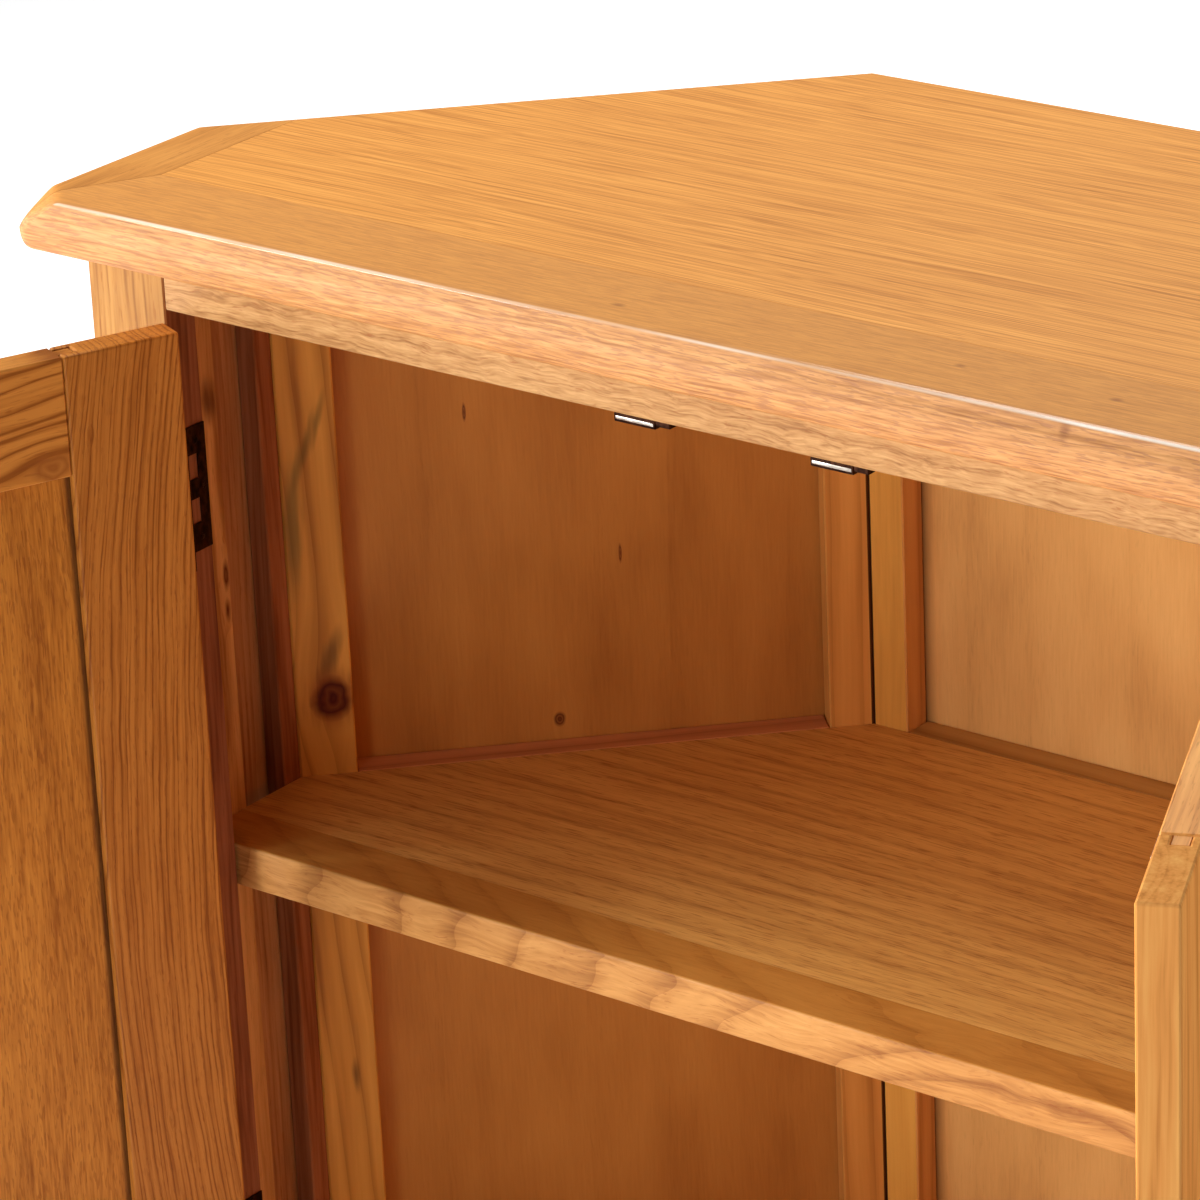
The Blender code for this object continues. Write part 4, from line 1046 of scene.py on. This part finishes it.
def hinge_leaf(owner, middle):
    """Shells of one leaf beside its pin at the origin: the bar at the back and its straps."""
    low = middle - HINGE_LENGTH / 2
    depth = LEAF_REACH[owner]
    front = depth - HINGE_BAR
    bar_low = (LEAF_FACE, front, low + HAIRLINE)
    bar_high = (LEAF_FACE + LEAF_THICK, depth, low + HINGE_LENGTH - HAIRLINE)
    bands = list(zip(KNUCKLE_ENDS, KNUCKLE_ENDS[1:]))[owner == "door"::2]
    straps = [strap(low + a + HAIRLINE, low + b - HAIRLINE, front + STRAP_OVERLAP) for a, b in bands]
    return [rounded_block(bar_low, bar_high, BAR_ROUND), *straps]


def hinge_screws(owner, middle):
    """Three screw places on a leaf's face, the outer ones at the straps and the middle one in the bar."""
    depth = LEAF_REACH[owner] - HINGE_BAR * np.array([1.15, 0.5, 1.15])
    heights = middle + HINGE_LENGTH * np.array([-0.385, 0.0, 0.385])
    return [looking((LEAF_FACE, y, z), (-1, 0, 0)) for y, z in zip(depth, heights)]


def pin_rings(middle):
    """A rod between two domed heads: each head is a quarter ellipse turned about the pin's axis."""
    turn = np.linspace(0.15, np.pi / 2, 6)
    dome_radius, dome_height = HEAD_SWELL * PIN_RADIUS * np.sin(turn), HEAD_HEIGHT * np.cos(turn)
    half = HINGE_LENGTH / 2
    radius = np.concatenate([dome_radius, [PIN_RADIUS] * 2, dome_radius[::-1]])
    upper = np.concatenate([[half - HAIRLINE], half + dome_height[::-1]])
    return lathed(radius, middle + np.concatenate([-upper[::-1], upper]), 24)


for word, side in SIDES.items():
    post = Matrix.Translation((side * PIN_X, PIN_Y, 0)) @ Matrix.Diagonal((side, 1, 1, 1))
    turns = {"frame": post, "door": door_turn(side)}
    for level, middle in HINGE_MIDDLES.items():
        for owner, turn in turns.items():
            name = f"{word}_{level}_hinge_{owner}_leaf"
            body = "cabinet" if owner == "frame" else f"{word}_door"
            shells = [moved(shell, turn) for shell in hinge_leaf(owner, middle)]
            fit(carried(f"{name}_rolled", shells, bronze, 30), body, "bronzed_steel", name)
            places = [turn @ place for place in hinge_screws(owner, middle)]
            screws(f"{name}_screws", places, HINGE_SCREW, bronze, body)
        pin = carried(f"{word}_{level}_hinge_pin", [moved(pin_rings(middle), post)], bronze, 40)
        fit(pin, "cabinet", "bronzed_steel")
ends_mm = (KNUCKLE_ENDS * 1000).round(1).tolist()
print("hinges:", len(SIDES) * len(HINGE_MIDDLES), "with knuckle ends in mm at", ends_mm)

# %% [markdown]
# The catches under the top rail are dark housings with a bright strip of nickel let into the front, which
# holds the plate on the door. Each has a screw tab at its right end. All of these are blocks with small
# rounded edges, stacked like the shelf lipping but turned so that their long edges are the stacked ones.

# %% Catches and strike plates
def long_block(low, high, edge, corner=None):
    """A rounded block whose stacking runs along X: x, y and z are passed round by one place."""
    low, high = np.roll(low, -1), np.roll(high, -1)
    return np.roll(rounded_block(low, high, edge, corner), 1, axis=-1)


CATCH_TAB, STRIP_LOW, STRIP_HIGH = 0.0082, 0.0012, 0.0035
STRIP_INSET, STRIP_PROUD, STRIP_DEPTH, ARM_HEIGHT = 0.0008, 0.00012, 0.0030, 0.0034
PLATE_THICK, PLATE_SCREW_INSET, CATCH_SCREW, PLATE_SCREW = 0.0012, 0.0045, 0.0014, 0.0015
for word, side in SIDES.items():
    low, high = (np.array(corner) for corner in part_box(f"{word}_catch"))
    tab = high[0] - CATCH_TAB
    housing = long_block(low, (tab, high[1], high[2]), 0.0006, 0.0009)
    arm = long_block((tab - 0.0005, low[1] + 0.0006, high[2] - ARM_HEIGHT), high, 0.0004, 0.0008)
    piece = carried(f"{word}_catch_housing", [housing, arm], bronze)
    fit(piece, "cabinet", "nickel_plate", f"{word}_catch")
    strip_low = (low[0] + STRIP_INSET, low[1] - STRIP_PROUD, low[2] + STRIP_LOW)
    strip_high = (tab - STRIP_INSET, low[1] + STRIP_DEPTH, low[2] + STRIP_HIGH)
    strip = carried(f"{word}_catch_strip", [long_block(strip_low, strip_high, 0.0005, 0.0007)], nickel)
    fit(strip, "cabinet", "nickel_plate")
    place = looking((tab + CATCH_TAB * 0.52, low[1] + 0.0008, high[2] - ARM_HEIGHT / 2), (0, -1, 0))
    screws(f"{word}_catch_screw", [place], CATCH_SCREW, nickel, "cabinet", "nickel_plate")

    turn = door_turn(side)
    starts = [PIN_X - side * x for x in (low[0], tab)]
    inside = DOOR_FACE + DOOR_THICK + 2 * HAIRLINE
    plate_low = (min(starts), inside, low[2])
    plate_high = (max(starts), inside + PLATE_THICK, high[2])
    plate = moved(long_block(plate_low, plate_high, 0.0004, 0.00055), turn)
    piece = carried(f"{word}_strike_plate_rounded", [plate], nickel)
    fit(piece, f"{word}_door", "nickel_plate", f"{word}_strike_plate")
    spots = [min(starts) + PLATE_SCREW_INSET, max(starts) - PLATE_SCREW_INSET]
    places = [turn @ looking((x, inside + PLATE_THICK, (low[2] + high[2]) / 2), (0, 1, 0)) for x in spots]
    screws(f"{word}_strike_screws", places, PLATE_SCREW, nickel, f"{word}_door", "nickel_plate")
print("catch length in mm:", round((high[0] - low[0]) * 1000, 1))

# %% [markdown]
# A knob is turned on a lathe, so half of its outline says everything. A few points of that outline are
# rounded off with a Catmull-Rom curve, which passes through every one of them, and the curve is carried once
# round the knob's axis.

# %% Knobs
KNOB_RADIUS, KNOB_LENGTH, KNOB_INSET = 0.016, 0.026, 0.031
KNOB_OUTLINE = np.array([
    (0.66, 0.00), (0.67, 0.03), (0.64, 0.07), (0.52, 0.14), (0.48, 0.24), (0.56, 0.34), (0.76, 0.43),
    (0.94, 0.53), (1.00, 0.65), (0.97, 0.76), (0.86, 0.87), (0.64, 0.95), (0.35, 0.99), (0.02, 1.00),
])


def through_points(points, steps=5):
    """Catmull-Rom: between two points, a cubic whose slopes come from the neighbours on either side."""
    padded = np.concatenate([points[:1], points, points[-1:]])
    before, start, end, after = padded[:-3], padded[1:-2], padded[2:-1], padded[3:]
    t = np.linspace(0, 1, steps, endpoint=False)[None, :, None]
    before, start, end, after = (p[:, None] for p in (before, start, end, after))
    cubic = 2 * start + (end - before) * t + (2 * before - 5 * start + 4 * end - after) * t**2
    cubic = (cubic + (3 * start - before - 3 * end + after) * t**3) / 2
    return np.concatenate([cubic.reshape(-1, points.shape[1]), points[-1:]])


def knob_rings(spokes=64):
    """The outline's radius carried round, and its distance from the door along Z."""
    radius, away = through_points(KNOB_OUTLINE).T * np.array([[KNOB_RADIUS], [KNOB_LENGTH]])
    return lathed(radius, away, spokes)


for word, side in SIDES.items():
    low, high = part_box(f"{word}_knob")
    spot = (DOOR_REACH - KNOB_INSET, DOOR_FACE - 2 * HAIRLINE, (low[2] + high[2]) / 2)
    place = door_turn(side) @ looking(spot, (0, -1, 0))
    piece = carried(f"{word}_knob_turned", [moved(knob_rings(), place)], finishes[f"{word}_knob"])
    fit(piece, f"{word}_door", "lacquered_oak", f"{word}_knob")
    seen = np.array([v.co for v in piece.data.vertices])
    print(word, "knob off the solid by mm:", (abs(seen.min(0) - low).max() * 1000).round(2))
